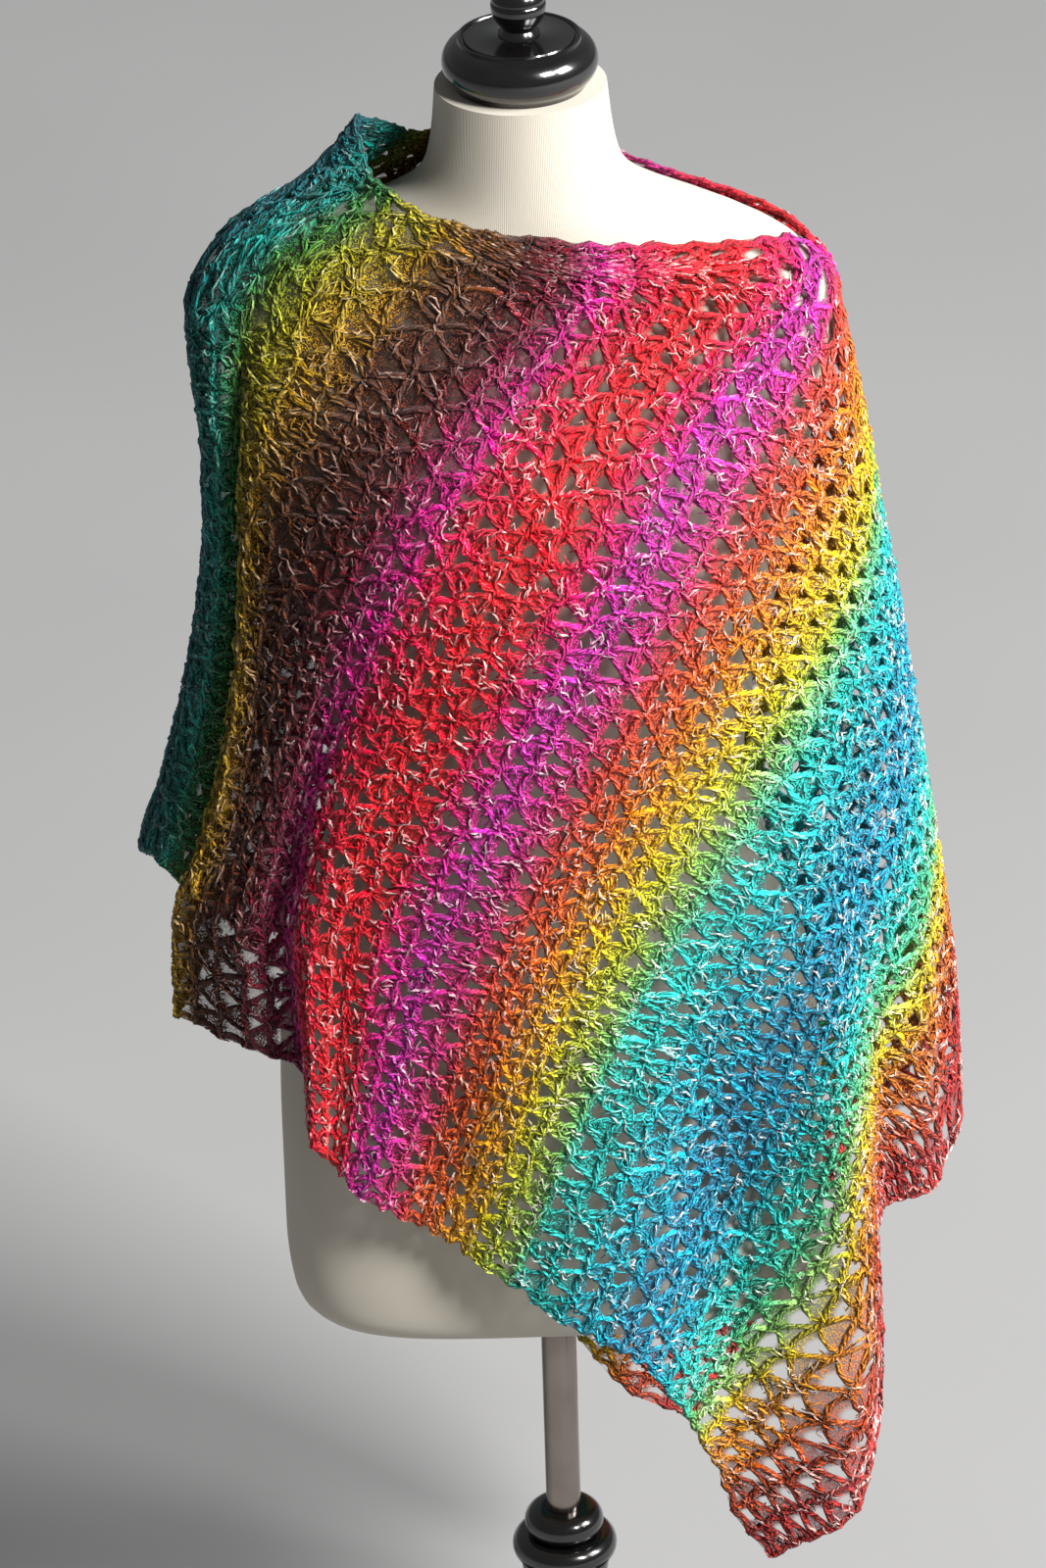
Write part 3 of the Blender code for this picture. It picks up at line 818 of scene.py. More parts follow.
@dataclass
class Strands:
    """Many round strands, gathered before they are made into one mesh."""

    sides: int = 4
    flatness: float = 1.0       # height off the cloth over width
    offset: float = 0.013       # shifts one strand's plies against the next one's
    bunches: List[Tuple[np.ndarray, ...]] = field(default_factory=list)

    def add(self, middles: np.ndarray, normals: np.ndarray, radii: np.ndarray,
            stripes: np.ndarray, tones: np.ndarray) -> None:
        """Keep a bunch of strands with one number of points.

        Args:
            middles: Their middle lines, (strand, point, xyz).
            normals: The cloth's normals there.
            radii: Their radii, (strand, point).
            stripes: Their places on the stripes, (strand, point).
            tones: How light they are, from 0 to 1, (strand, point).
        """
        self.bunches.append((middles, normals, radii, stripes, tones))

    def line(self, laid: Tuple[np.ndarray, ...], radii: np.ndarray, tone: float) -> None:
        """Keep one strand of one tone, laid by a panel."""
        spots, normals, stripes = (part[None] for part in laid)
        self.add(spots, normals, radii[None], stripes, np.full((1, len(radii)), tone))

    def bunch(self, kept: Tuple[np.ndarray, ...], first: int) -> Tuple[Any, ...]:
        """Round walls and end faces for one bunch.

        Args:
            kept: The bunch, as add() was given it.
            first: The number of its first point.

        Returns:
            Points, walls, end faces, and for each both maps' measures.
        """
        middles, normals, radii, stripes, tones = kept
        ways = unit(np.gradient(middles, axis=1))
        sideways = unit(np.cross(ways, normals))
        outward = np.cross(sideways, ways)
        turns = 2.0 * np.pi * np.arange(self.sides) / self.sides
        ring = (outward[:, :, None] * np.cos(turns)[:, None] * self.flatness
                + sideways[:, :, None] * np.sin(turns)[:, None])
        points = middles[:, :, None] + ring * radii[:, :, None, None]
        number = first + np.arange(points[..., 0].size).reshape(points.shape[:3])
        here, onward = number[:, :-1], number[:, 1:]
        walls = np.stack((here, np.roll(here, -1, 2), np.roll(onward, -1, 2), onward), -1)
        ends = np.concatenate((number[:, 0, ::-1], number[:, -1]))

        steps = np.linalg.norm(np.diff(middles, axis=1), axis=-1)
        travel = np.pad(np.cumsum(steps, axis=1), ((0, 0), (1, 0)))
        travel += self.offset * np.arange(len(travel))[:, None]

        def ahead(table: np.ndarray) -> np.ndarray:
            """A measure that changes along the strands, at the walls' corners."""
            low, high = (np.broadcast_to(part[..., None], here.shape)
                         for part in (table[:, :-1], table[:, 1:]))
            return np.stack((low, low, high, high), -1)

        left = np.broadcast_to(np.arange(self.sides) / self.sides, here.shape)
        right = left + 1.0 / self.sides
        around = np.stack((left, right, right, left), -1)
        wall_maps = [np.stack(pair, -1).reshape(-1, 2)
                     for pair in ((ahead(travel), around), (ahead(stripes), ahead(tones)))]
        end_maps = [np.repeat(np.stack([t[:, (0, -1)].T.ravel() for t in pair], -1),
                              self.sides, axis=0)
                    for pair in ((travel, np.zeros_like(travel)), (stripes, tones))]
        return points.reshape(-1, 3), walls.reshape(-1, 4), ends, wall_maps, end_maps

    def mesh(self, name: str) -> bpy.types.Mesh:
        """All the strands as one smooth mesh with the maps "strand" and "yarn"."""
        made, first = [], 0
        for kept in self.bunches:
            made.append(self.bunch(kept, first))
            first += len(made[-1][0])
        points, walls, ends, wall_maps, end_maps = zip(*made)
        maps = {key: np.concatenate([pair[at] for pair in wall_maps + end_maps])
                for at, key in enumerate(("strand", "yarn"))}
        return faces_mesh(name, np.concatenate(points), walls + ends, maps)


@dataclass
class Panel:
    """One hanging half of the poncho, and the way from stitches to space."""

    side: Side
    rows: int = 43              # crochet rows from the fold to the free end
    pitch: float = 0.0222       # one stitch along its row
    even_row: float = 0.30      # the row, in metres from the fold, that sets the count
    grid_along: int = 241
    grid_down: int = 181
    count_step: float = 0.25    # fineness of the table of stitches
    square: float = 0.8         # how far stitches stand square on rows, not evenly spaced
    hand: float = 0.7           # sets the two panels' unevenness apart
    calm_rows: float = 2.0      # rows at both ends where the stitches grow even,
    calm_share: float = 0.0625  # and the share of the way down at both edges
    zigzag: float = 0.4         # rows that the stripes run on along one row
    lean: float = 4.0           # cm that the front's first stripes lean at the neck,
    lean_at: float = 13.0       # their middle in cm from the fold,
    lean_width: float = 8.0
    lean_depth: float = 0.4     # and the share of the way down where they are straight

    def __post_init__(self) -> None:
        """Lay out the surface once, finely, with its normals and stitches."""
        tables = ((FRONT_ROWS, FRONT_ROW_FOLDS, FRONT_PLUMB_FOLDS) if self.side is Side.FRONT
                  else (BACK_ROWS, BACK_ROW_FOLDS, BACK_PLUMB_FOLDS))
        self.spots = panel_points(*tables, self.side.value,
                                  np.linspace(0.0, PANEL_LENGTH, self.grid_along),
                                  np.linspace(0.0, 1.0, self.grid_down))
        normal = np.cross(*(np.gradient(self.spots, axis=way) for way in (0, 1)))
        self.normals = unit(self.smoothed(unit(normal * self.side.value), 3))
        self.count_stitches()

    @staticmethod
    def smoothed(table: np.ndarray, times: int) -> np.ndarray:
        """A table of the grid, averaged with its neighbours some times."""
        for _ in range(times):
            wide = np.pad(table, ((1, 1), (1, 1)) + ((0, 0),) * (table.ndim - 2), mode="edge")
            table = (wide[:-2, 1:-1] + wide[2:, 1:-1] + wide[1:-1, :-2] + wide[1:-1, 2:]
                     + 2.0 * table) / 6.0
        return table

    @staticmethod
    def carried(places: np.ndarray, knots: np.ndarray, values: np.ndarray) -> np.ndarray:
        """Values between knots, carried on straight past both ends."""
        inside = np.interp(places, knots, values)
        first = (values[1] - values[0]) / (knots[1] - knots[0])
        last = (values[-1] - values[-2]) / (knots[-1] - knots[-2])
        return (inside + np.minimum(places - knots[0], 0.0) * first
                + np.maximum(places - knots[-1], 0.0) * last)

    def count_stitches(self) -> None:
        """Number the stitches so that they stand square on their rows."""
        step = PANEL_LENGTH / (self.grid_along - 1)
        down = np.linspace(0.0, 1.0, self.grid_down)
        by_along = np.gradient(self.spots, step, axis=0)
        by_down = np.gradient(self.spots, down, axis=1)
        lean = (by_along * by_down).sum(-1) / (by_down ** 2).sum(-1)
        lean = self.smoothed(lean, 12)
        runs = np.linalg.norm(np.diff(self.spots, axis=1), axis=-1)
        length = np.concatenate((np.zeros((self.grid_along, 1)), np.cumsum(runs, axis=1)), 1)
        counts = np.zeros((self.grid_along, self.grid_down))
        start = round(self.even_row / step)
        counts[start] = length[start] / self.pitch
        for at in range(start, self.grid_along - 1):
            counts[at + 1] = self.carried(down + lean[at] * step, down, counts[at])
        for at in range(start, 0, -1):
            counts[at - 1] = self.carried(down - lean[at] * step, down, counts[at])
        middle = self.grid_down // 2
        even = counts[:, middle:middle + 1] + (length - length[:, middle:middle + 1]) / self.pitch
        self.counts = self.square * counts + (1.0 - self.square) * even
        self.count_low = float(np.floor(self.counts.min())) - 2.0
        high = float(np.ceil(self.counts.max())) + 2.0
        places = np.arange(self.count_low, high, self.count_step)
        self.downs_at = np.stack([self.carried(places, line, down) for line in self.counts])

    def read(self, table: np.ndarray, x: np.ndarray, y: np.ndarray) -> np.ndarray:
        """Read a table between its points.

        Args:
            table: The table, with any further axes at its end.
            x: Places along its first axis.
            y: Places along its second axis.

        Returns:
            The values there.
        """
        x = np.clip(x, 0.0, table.shape[0] - 1.0)
        y = np.clip(y, 0.0, table.shape[1] - 1.0)
        i = np.minimum(x.astype(int), table.shape[0] - 2)
        j = np.minimum(y.astype(int), table.shape[1] - 2)
        p, q = x - i, y - j
        if table.ndim > 2:
            p, q = p[..., None], q[..., None]
        return (table[i, j] * (1 - p) * (1 - q) + table[i + 1, j] * p * (1 - q)
                + table[i, j + 1] * (1 - p) * q + table[i + 1, j + 1] * p * q)

    def grid_x(self, row: Any) -> Any:
        """The place of a row on the grid."""
        return row / self.rows * (self.grid_along - 1)

    def down_of(self, row: np.ndarray, stitch: np.ndarray) -> np.ndarray:
        """Shares of the way down at stitches of a row."""
        return self.read(self.downs_at, self.grid_x(row),
                         (stitch - self.count_low) / self.count_step)

    def span(self, row: float) -> Tuple[float, float]:
        """First and last stitch number of a row."""
        at = np.array([self.grid_x(row)] * 2)
        ends = self.read(self.counts, at, np.array([0.0, self.grid_down - 1.0]))
        return float(ends[0]), float(ends[1])

    def wander(self, row: np.ndarray, stitch: np.ndarray) -> Tuple[np.ndarray, np.ndarray]:
        """Uneven hand tension: shifts in rows and stitches, none at the edges.

        Args:
            row: Places in crochet rows.
            stitch: Places in stitches.

        Returns:
            The shifted places.
        """
        down = self.down_of(row, stitch)
        shift = self.hand * self.side.value
        edge = (ease(row / self.calm_rows) * ease((self.rows - row) / self.calm_rows)
                * ease(down / self.calm_share) * ease((1.0 - down) / self.calm_share))
        rows, stitches = (
            sum(size * np.sin(by_stitch * stitch + by_row * row + start + own * shift)
                for size, by_stitch, by_row, start, own in waves)
            for waves in (ROW_WAVES, STITCH_WAVES))
        return row + rows * edge, stitch + stitches * edge

    def lay(self, row: np.ndarray, stitch: np.ndarray, lift: Union[float, np.ndarray],
            ) -> Tuple[np.ndarray, np.ndarray, np.ndarray]:
        """Points, normals and places on the stripes at stitches of rows."""
        row, stitch = self.wander(row, stitch)
        return self.put(row, self.down_of(row, stitch), lift)

    def put(self, row: np.ndarray, down: np.ndarray, lift: Union[float, np.ndarray],
            ) -> Tuple[np.ndarray, np.ndarray, np.ndarray]:
        """Points, normals and places on the stripes at shares of the way down."""
        row, down = np.clip(row, 0.0, self.rows), np.clip(down, 0.0, 1.0)
        x, y = self.grid_x(row), down * (self.grid_down - 1)
        normal = unit(self.read(self.normals, x, y))
        spots = self.read(self.spots, x, y) + normal * np.asarray(lift)[..., None]
        return spots, normal, self.stripe(row, down)

    def stripe(self, row: np.ndarray, down: np.ndarray) -> np.ndarray:
        """Place on the stripes, as the yarn runs to and fro.

        Args:
            row: Places in crochet rows.
            down: Shares of the way down.

        Returns:
            Shares of the stripes' length.
        """
        run = np.where(np.floor(row) % 2 == 0, down, 1.0 - down)
        share = np.clip((row + self.zigzag * (run - 0.5)) / self.rows, 0.0, 1.0)
        cm = share * PANEL_LENGTH * 100.0
        if self.side is Side.BACK:
            cm = np.interp(cm, BACK_PLACES, BACK_COLOURS)
        else:
            near = np.exp(-((cm - self.lean_at) / self.lean_width) ** 2)
            cm = cm - self.lean * near * ease(1.0 - down / self.lean_depth)
        return cm / (PANEL_LENGTH * 100.0)


@dataclass
class CrochetNet:
    """Open V-stitches in soft curly yarn over one panel."""

    panel: Panel
    head: float = 0.0024        # radius of the chain along a row's head
    post: float = 0.0022        # radius of a stitch's post
    flatness: float = 0.80      # height over width of heads and posts
    lift: float = 0.0010        # the yarn's middle off the cloth's middle
    foot: float = 0.12          # where a post starts and ends, in rows,
    top: float = 0.94
    narrow: float = 0.05        # how far it is from the V's middle there, in stitches,
    wide: float = 0.37
    bow: float = 0.07           # and how far it bows out
    post_parts: Tuple[float, ...] = (0.0, 0.34, 0.68, 1.0)      # points along it, and
    post_sizes: Tuple[float, ...] = (1.20, 0.95, 0.92, 1.10)    # its relative radius there
    scallop: float = 0.07       # how far a head rises over its stitches, in rows
    tone: float = 0.40          # how light the strands are
    curls_a_stitch: float = 13.4
    on_posts: float = 0.58      # share of the loops that lie on posts
    inside: float = 0.45        # share of those that lie inside the V
    strays: float = 0.30        # share of the loops that stand off more
    tucked: float = 0.15        # share that goes behind its strand
    curl_turn: float = 0.60     # spread of the loops' headings, in radians
    curl_reach: Tuple[float, float] = (0.0026, 0.0052)      # half lengths
    curl_radius: Tuple[float, float] = (0.00065, 0.00110)
    curl_sizes: Tuple[float, ...] = (0.55, 1.0, 1.0, 0.55)      # relative, along a loop
    curl_form: Tuple[float, ...] = (0.0012, 0.0010, 0.0018, 0.0010)     # shift, slant, bow, wave
    curl_low: float = -0.0007   # the least height of a loop's middle
    veil_steps: Tuple[int, int] = (3, 99)   # the nap's faces in a row, and down one
    margin: float = 0.25        # least way from a stitch's middle to the edge, in stitches
    strips: int = 3
    seed: int = 11

    def cells(self, low: int, high: int) -> Tuple[np.ndarray, np.ndarray]:
        """Rows and middles of the stitches whose middle is on the cloth.

        Args:
            low: The first row.
            high: The row after the last.

        Returns:
            Row numbers and stitch middles, as columns.
        """
        rows: List[float] = []
        middles: List[float] = []
        for row in range(low, high):
            first, last = self.panel.span(row + 0.5)
            for cell in range(math.floor(first) - 1, math.ceil(last) + 1):
                middle = cell + 0.5 + 0.5 * (row % 2)
                if first + self.margin < middle < last - self.margin:
                    rows.append(float(row))
                    middles.append(middle)
        return np.array(rows)[:, None], np.array(middles)[:, None]

    def heads(self, strands: Strands, rows: Sequence[int], chance: np.random.Generator) -> None:
        """The chain along the head of each row.

        Args:
            strands: Where they are kept.
            rows: The rows whose heads are made.
            chance: The unevenness.
        """
        panel = self.panel
        for row in rows:
            first, last = panel.span(float(row))
            stitch = np.linspace(first, last, max(int((last - first) * 5), 4) + 1)
            wave = np.cos(2.0 * np.pi * (stitch - 0.5 - 0.5 * (row % 2)))
            at = row + self.scallop * wave - 0.01
            phase = chance.uniform(0.0, 2.0 * np.pi)
            lift = self.lift + 0.0005 * np.sin(stitch * 7.9 + phase)
            radius = self.head * (1.0 + 0.10 * np.sin(stitch * 9.3 + phase)
                                  + chance.uniform(-0.14, 0.14, stitch.shape))
            strands.line(panel.lay(at, stitch, lift), radius, self.tone)

    def bowed(self, part: np.ndarray, wide: Any) -> np.ndarray:
        """How far a post is from its V's middle, at shares of its length."""
        return self.narrow + (wide - self.narrow) * part + self.bow * np.sin(np.pi * part)

    def posts(self, strands: Strands, rows: np.ndarray, middles: np.ndarray,
              chance: np.random.Generator) -> None:
        """The two leaning posts of each V.

        Args:
            strands: Where they are kept.
            rows: The rows that they stand in.
            middles: The stitches that they stand in.
            chance: The unevenness.
        """
        part = np.array(self.post_parts)
        for lean in (-1.0, 1.0):
            foot, top, wide = (middle + chance.uniform(-way, way, rows.shape)
                               for middle, way in ((self.foot, 0.03), (self.top, 0.03),
                                                   (self.wide, 0.05)))
            at = rows + foot + (top - foot) * part
            lift = self.lift + chance.uniform(-0.0004, 0.0004, at.shape)
            laid = self.panel.lay(at, middles + lean * self.bowed(part, wide), lift)
            radius = self.post * (1.0 + chance.uniform(-0.16, 0.18, at.shape))
            radius = radius * np.array(self.post_sizes)
            tone = self.tone + 0.08 * chance.standard_normal(rows.shape)
            strands.add(*laid[:2], radius, laid[2], np.broadcast_to(tone, at.shape))

    def edges(self, strands: Strands, low: float, high: float,
              chance: np.random.Generator) -> None:
        """Turning loops that finish the rows at the upper edge and at the hem.

        Args:
            strands: Where they are kept.
            low: The first row.
            high: The last row.
            chance: The unevenness.
        """
        at = np.linspace(low, high, int((high - low) * 5) + 1)
        for border, sign in ((0.0, 1.0), (1.0, -1.0)):
            down = border + sign * (0.002 + 0.006 * np.sin(np.pi * at) ** 2)
            lift = self.lift + 0.0005 * np.sin(at * 6.1)
            radius = self.head * (1.0 + chance.uniform(-0.16, 0.16, at.shape))
            strands.line(self.panel.put(at, down, lift), radius, self.tone + 0.02)

    def curls(self, rows: np.ndarray, middles: np.ndarray,
              chance: np.random.Generator) -> Strands:
        """Short loose loops of the yarn that wind over posts and heads.

        Args:
            rows: The rows of the stitches.
            middles: The middles of the stitches.
            chance: The unevenness.

        Returns:
            The loops.
        """
        panel = self.panel
        count = int(len(rows) * self.curls_a_stitch)

        def even(low: float = 0.0, high: float = 1.0) -> np.ndarray:
            """One even draw for each loop."""
            return chance.uniform(low, high, (count, 1))

        def bell(spread: float) -> np.ndarray:
            """One normal draw for each loop."""
            return chance.normal(0.0, spread, (count, 1))

        host = chance.integers(0, len(rows), count)
        row, cell = rows[host], middles[host]
        on_post, part = even() < self.on_posts, even()
        lean = np.where(even() < 0.5, -1.0, 1.0)
        beside = self.bowed(part, self.wide) * np.where(even() < self.inside, even(), 1.0)
        head = 0.99 - self.scallop * np.cos(2.0 * np.pi * part)
        at = row + np.where(on_post, self.foot + (self.top - self.foot) * part, head)
        stitch = cell + np.where(on_post, lean * beside, part)
        slope = 0.32 + 0.22 * np.cos(np.pi * part)
        heading = np.where(on_post, lean * slope * 1.15, 0.5 * np.pi) + bell(self.curl_turn)
        run = np.linspace(-1.0, 1.0, len(self.curl_sizes))[None]
        ahead = even(*self.curl_reach) * run
        stray = even() < self.strays
        shift, slant, bow, wave = (bell(spread) for spread in self.curl_form)
        aside = shift + slant * run + bow * (run ** 2 - 0.4) + wave * np.sin(4.5 * run)
        aside = aside * np.where(stray, 1.6, 1.0)
        row_step = (ahead * np.cos(heading) - aside * np.sin(heading)) * panel.rows / PANEL_LENGTH
        stitch_step = (ahead * np.sin(heading) + aside * np.cos(heading)) / panel.pitch
        core = np.where(on_post, self.post, self.head)
        over = np.sqrt(np.maximum(core ** 2 - np.minimum(aside ** 2, core ** 2 * 0.9), 0.0))
        off = over * self.flatness + 0.0003 - 0.0006 * run ** 2
        off = off + np.where(stray, even(0.0, 0.0007), 0.0)
        lift = self.lift + off * np.where(even() < self.tucked, -1.0, 1.0)
        spots, normals, stripes = panel.lay(at + row_step, stitch + stitch_step,
                                            np.maximum(lift, self.curl_low))
        radius = even(*self.curl_radius) * np.array(self.curl_sizes)
        tone = np.broadcast_to(0.52 + 0.48 * even() ** 1.4, radius.shape)
        made = Strands(sides=3)
        made.add(spots, normals, radius, stripes, tone)
        return made

    def build(self, yarn: bpy.types.Material, nap: bpy.types.Material,
              node: str) -> List[bpy.types.Object]:
        """Make the panel's net in strips, its loops and its nap.

        Args:
            yarn: The yarn's material.
            nap: The nap's material.
            node: The CAD node that the net stands for.

        Returns:
            The pieces.
        """
        panel = self.panel
        label = panel.side.name.lower()
        cuts = [round(panel.rows * i / self.strips) for i in range(self.strips + 1)]
        made = []
        for number, (low, high) in enumerate(zip(cuts, cuts[1:])):
            chance = np.random.default_rng(self.seed + number)
            rows, middles = self.cells(low, high)
            strands = Strands(flatness=self.flatness)
            self.heads(strands, range(low, high + (number == self.strips - 1)), chance)
            self.posts(strands, rows, middles, chance)
            self.edges(strands, low, high, chance)
            net = link(f"{label}_net_{number + 1}", strands.mesh(f"{label}_net"), yarn)
            curls = link(f"{label}_curls_{number + 1}",
                         self.curls(rows, middles, chance).mesh(f"{label}_curls"), yarn)
            join_in(net, node)
            join_in(curls, node, replaces=False)
            made += [net, curls]
        veil = self.veil(nap)
        join_in(veil, node, replaces=False)
        return made + [veil]

    def veil(self, nap: bpy.types.Material) -> bpy.types.Object:
        """The fine nap as one thin skin through the middle of the net."""
        panel = self.panel
        rows = np.linspace(0.0, panel.rows, panel.rows * self.veil_steps[0] + 1)
        downs = np.linspace(0.0, 1.0, self.veil_steps[1] + 1)
        row, down = np.meshgrid(rows, downs, indexing="ij")
        stitch = panel.read(panel.counts, panel.grid_x(row), down * (panel.grid_down - 1))
        spots, _, stripe = panel.lay(row, stitch, np.full(row.shape, self.lift * 0.6))
        number = np.arange(row.size).reshape(row.shape)
        quads = np.stack((number[:-1, :-1], number[1:, :-1], number[1:, 1:], number[:-1, 1:]), -1)
        if panel.side is Side.FRONT:
            quads = quads[..., ::-1]
        quads = quads.reshape(-1, 4)
        yarn = np.stack((stripe.ravel(), np.full(stripe.size, 0.5)), -1)[quads]
        lattice = np.stack((row.ravel(), stitch.ravel()), -1)[quads]
        lattice[..., 1] -= 0.5 * (np.floor(lattice[..., 0].mean(-1, keepdims=True)) % 2)
        label = panel.side.name.lower()
        mesh = faces_mesh(f"{label}_nap", spots.reshape(-1, 3), [quads],
                          {"yarn": yarn, "stitch": lattice})
        return link(f"{label}_nap", mesh, nap)


def turned(name: str, profile: Sequence[Tuple[float, float]], finish: bpy.types.Material,
           steps: int = 96) -> bpy.types.Object:
    """A turned piece.

    Args:
        name: Its name.
        profile: Radius and height from the top to the bottom.
        finish: Its material.
        steps: Faces round it.

    Returns:
        The piece.
    """
    bm = bmesh.new()
    line = [bm.verts.new((radius, 0.0, height)) for radius, height in profile]
    edges = [bm.edges.new(pair) for pair in zip(line, line[1:])]
    bmesh.ops.spin(bm, geom=line + edges, cent=(0.0, 0.0, 0.0), axis=(0.0, 0.0, 1.0),
                   angle=2.0 * math.pi, steps=steps, use_merge=True)
    bmesh.ops.remove_doubles(bm, verts=bm.verts, dist=1e-6)
    bmesh.ops.recalc_face_normals(bm, faces=bm.faces)
    return link(name, shaped(name, bm, 42.0), finish)


def bead(radius: float, height: float, size: float, starts: float, ends: float,
         steps: int) -> List[Tuple[float, float]]:
    """Points round a bead.

    Args:
        radius: Its outermost radius.
        height: The height of its middle.
        size: Its own radius.
        starts: First angle in degrees from straight out, up positive.
        ends: Last angle.
        steps: Steps between them.

    Returns:
        Radius and height of each point.
    """
    angles = np.radians(np.linspace(starts, ends, steps + 1))
    middle = radius - size
    return [(middle + size * math.cos(a), height + size * math.sin(a)) for a in angles]


@dataclass
class DressForm:
    """The limbless form: a jersey-covered torso with a turned cap."""

    around: int = 144
    up: int = 110
    row_shares: Tuple[float, ...] = (0.0, 0.012, 0.03, 0.06, 1.0)     # of the mesh's rows, and
    height_shares: Tuple[float, ...] = (0.0, 0.002, 0.008, 0.03, 1.0)   # of the height there

    def torso(self, finish: bpy.types.Material) -> bpy.types.Object:
        """The torso from hip to neck, shaped from a plain column."""
        bm = bmesh.new()
        bmesh.ops.create_cone(bm, cap_ends=True, cap_tris=False, segments=self.around,
                              radius1=1.0, radius2=1.0, depth=1.0)
        upright = [e for e in bm.edges if abs(e.verts[0].co.z - e.verts[1].co.z) > 0.5]
        bmesh.ops.subdivide_edges(bm, edges=upright, cuts=self.up, use_grid_fill=True)
        verts = list(bm.verts)
        spots = np.array([v.co[:] for v in verts])
        share = smooth_curve(self.row_shares, self.height_shares, spots[:, 2] + 0.5)[:, 0]
        height = FORM_BOTTOM + (FORM_TOP - FORM_BOTTOM) * share
        ring = smooth_curve(FORM_RINGS[:, 0], FORM_RINGS[:, 1:], height)
        angle = np.arctan2(spots[:, 1], spots[:, 0])
        side = np.where(np.sin(angle) < 0.0, ring[:, 1], ring[:, 2])
        x, y = (size * np.sign(way) * np.abs(way) ** (2.0 / ring[:, 3])
                for size, way in ((ring[:, 0], np.cos(angle)), (side, np.sin(angle))))
        for vert, spot in zip(verts, np.stack((x, y, height), -1)):
            vert.co = spot
        bmesh.ops.recalc_face_normals(bm, faces=bm.faces)
        return link("dress_form_jersey", shaped("torso", bm, 60.0), finish)

    def cap(self, finish: bpy.types.Material) -> bpy.types.Object:
        """The round-edged cap with its sunk top and ball finial."""
        seat = FORM_TOP + SEAT_GAP
        # the ball and its neck
        profile = [(0.0, 1.2532)]
        profile += bead(0.0163, 1.2368, 0.0163, 84, 14, 14)
        profile += [(0.0153, 1.2396)]
        profile += bead(0.0163, 1.2368, 0.0163, 6, -42, 8)
        profile += bead(0.0124, 1.2230, 0.0012, 150, 210, 3)
        # the sunk top, its rim and the cap's round side
        profile += [(0.0120, 1.2205), (0.0124, 1.2182), (0.0134, 1.2176), (0.0322, 1.2176),
                    (0.0330, 1.2162), (0.0338, 1.2162)]
        profile += [(0.0344, 1.2174), (0.0352, 1.2180), (0.0362, 1.2178)]
        profile += bead(0.0459, 1.2025, 0.0140, 70, -56, 20)
        profile += [(0.0390, seat), (0.0, seat)]
        return turned("neck_cap_lacquer", profile, finish)

    def build(self) -> List[bpy.types.Object]:
        """Make the form's two pieces, each in its node's place."""
        torso = self.torso(JerseyFinish().make())
        join_in(torso, "dress_form")
        cap = self.cap(LacquerFinish().make())
        join_in(cap, "neck_cap")
        return [torso, cap]


@dataclass
class Stand:
    """The pole and the turned foot that carry the form."""

    waist_heights: Tuple[float, ...] = (0.045, 0.070, 0.105, 0.148)     # of the post, and
    waist_radii: Tuple[float, ...] = (0.030, 0.0235, 0.0240, 0.0285)    # its radii there

    def build(self) -> List[bpy.types.Object]:
        """Make the stand's two pieces, each in its node's place."""
        top, bottom = FORM_BOTTOM - SEAT_GAP, COLLAR_TOP + SEAT_GAP
        pole = turned("pole_steel", [(0.0, top), (POLE_RADIUS, top), (POLE_RADIUS, bottom),
                                     (0.0, bottom)], SteelFinish().make())
        join_in(pole, "pole")
        # the collar's two rings, the post and the round foot
        profile = [(0.0, COLLAR_TOP), (0.0135, COLLAR_TOP)]
        profile += bead(0.0254, 0.1775, 0.0105, 76, -62, 16)
        profile += bead(0.0337, 0.1595, 0.0100, 66, -66, 16)
        heights = np.linspace(self.waist_heights[-1], self.waist_heights[0], 14)
        radii = smooth_curve(self.waist_heights, self.waist_radii, heights)[:, 0]
        profile += list(zip(radii.tolist(), heights.tolist()))
        profile += [(0.0380, 0.0380), (0.0520, 0.0330), (0.0900, 0.0285), (0.1300, 0.0250)]
        profile += bead(0.1400, 0.0120, 0.0120, 70, -66, 12)
        profile += [(0.1300, 0.0), (0.0, 0.0)]
        foot = turned("stand_foot_lacquer", profile, LacquerFinish("black_lacquer_foot").make(),
                      128)
        join_in(foot, "stand_base")
        return [pole, foot]


@dataclass
class Poncho:
    """The whole poncho: two nets that meet at the fold and at the joined side."""

    def build(self) -> List[bpy.types.Object]:
        """Make both panels' pieces."""
        yarn = YarnFinish().make()
        nap = NapFinish().make()
        made = []
        for side, node, seed in ((Side.FRONT, "front_panel", 11), (Side.BACK, "back_panel", 47)):
            made += CrochetNet(Panel(side), seed=seed).build(yarn, nap, node)
        return made


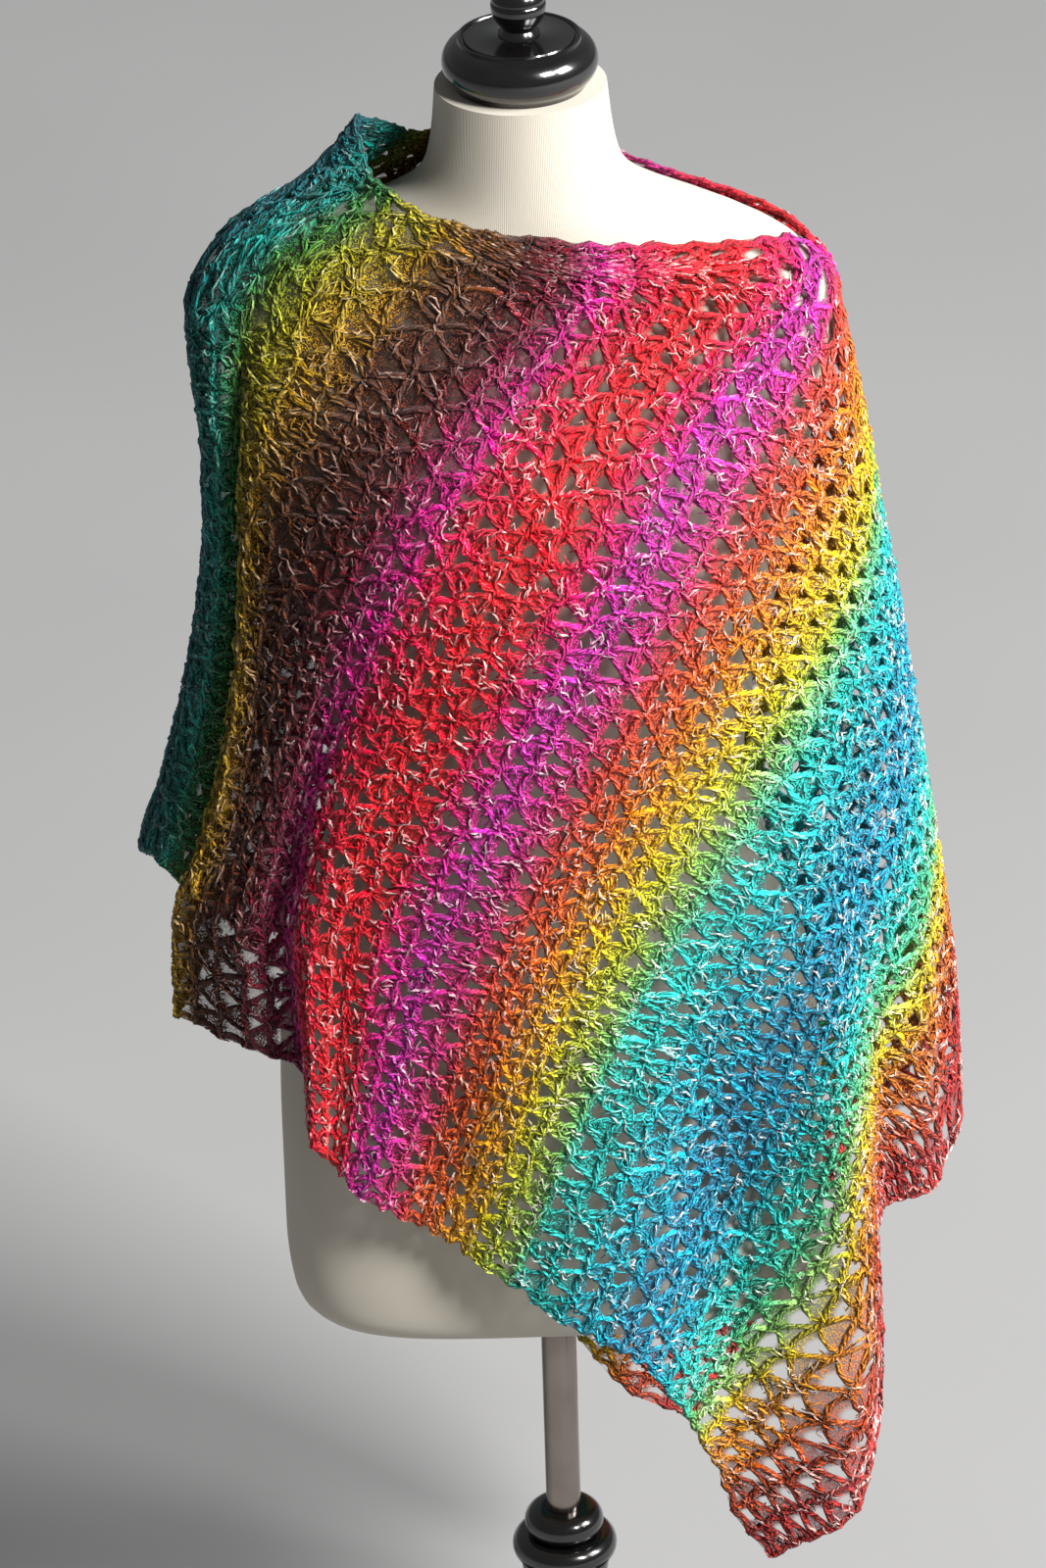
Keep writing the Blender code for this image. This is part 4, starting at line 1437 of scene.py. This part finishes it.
@dataclass
class Studio:
    """Camera, lights and floor."""

    target: Tuple[float, float, float] = (-0.0115, 0.0, 0.72)
    elevation: float = 29.0
    roll: float = 1.82
    distance: float = 4.8
    lens: float = 180.0
    sensor: float = 36.0
    aim: Tuple[float, float, float] = (0.0, 0.0, 0.75)      # what the lamps point at
    lamps: Tuple[Tuple[str, Tuple[float, float, float], float, float], ...] = (
        ("window", (7.0, -1.9, 5.9), 3.0, 1280.0),          # name, spot, side, watts
        ("skylight", (4.9, -4.6, 6.7), 2.1, 1480.0))
    lamp_tint: Tuple[float, float, float] = (1.0, 0.99, 0.98)
    room_tint: Tuple[float, float, float, float] = (0.86, 0.88, 0.90, 1.0)
    room_light: float = 0.20
    floor_half: float = 20.0

    def camera(self) -> None:
        """Set the camera at the photograph's viewing angle."""
        rise, lean = math.radians(self.elevation), math.radians(self.roll)
        ahead = Vector((0.0, math.cos(rise), -math.sin(rise)))
        level, upright = Vector((1.0, 0.0, 0.0)), Vector((0.0, math.sin(rise), math.cos(rise)))
        right = level * math.cos(lean) - upright * math.sin(lean)
        up = level * math.sin(lean) + upright * math.cos(lean)
        spot = Vector(self.target) - ahead * self.distance
        data = bpy.data.cameras.new("photo_camera")
        data.lens = self.lens
        data.sensor_width = self.sensor
        data.sensor_fit = "AUTO"
        data.clip_end = 60.0
        camera = bpy.data.objects.new("photo_camera", data)
        turn = Matrix((right, up, -ahead)).transposed().to_4x4()
        camera.matrix_world = Matrix.Translation(spot) @ turn
        bpy.context.scene.collection.objects.link(camera)
        bpy.context.scene.camera = camera

    def lamp(self, name: str, spot: Sequence[float], size: float, power: float) -> None:
        """One soft square lamp, of a side in metres and a power in watts."""
        data = bpy.data.lights.new(name, "AREA")
        data.shape = "SQUARE"
        data.size = size
        data.energy = power
        data.color = self.lamp_tint
        lamp = bpy.data.objects.new(name, data)
        way = (Vector(self.aim) - Vector(spot)).to_track_quat("-Z", "Y")
        lamp.matrix_world = Matrix.Translation(spot) @ way.to_matrix().to_4x4()
        bpy.context.scene.collection.objects.link(lamp)

    def build(self) -> List[bpy.types.Object]:
        """Make the studio and return its floor."""
        self.camera()
        bpy.context.scene.view_settings.view_transform = "Standard"
        for lamp in self.lamps:
            self.lamp(*lamp)
        world = bpy.data.worlds.new("soft_room")
        world.use_nodes = True
        shade = world.node_tree.nodes["Background"]
        shade.inputs["Color"].default_value = self.room_tint
        shade.inputs["Strength"].default_value = self.room_light
        bpy.context.scene.world = world
        bm = bmesh.new()
        bmesh.ops.create_grid(bm, x_segments=8, y_segments=8, size=self.floor_half)
        floor = link("floor", shaped("floor", bm), FloorFinish().make())
        return [floor]


def main() -> None:
    """Build the form, the stand, the poncho and the studio in order."""
    logging.basicConfig(level=logging.INFO, format="%(message)s")
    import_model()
    for assembly in (DressForm(), Stand(), Poncho(), Studio()):
        for piece in assembly.build():
            LOG.info("%s: %s, %d faces", type(assembly).__name__, piece.name,
                     len(piece.data.polygons))


if __name__ == "__main__":
    main()
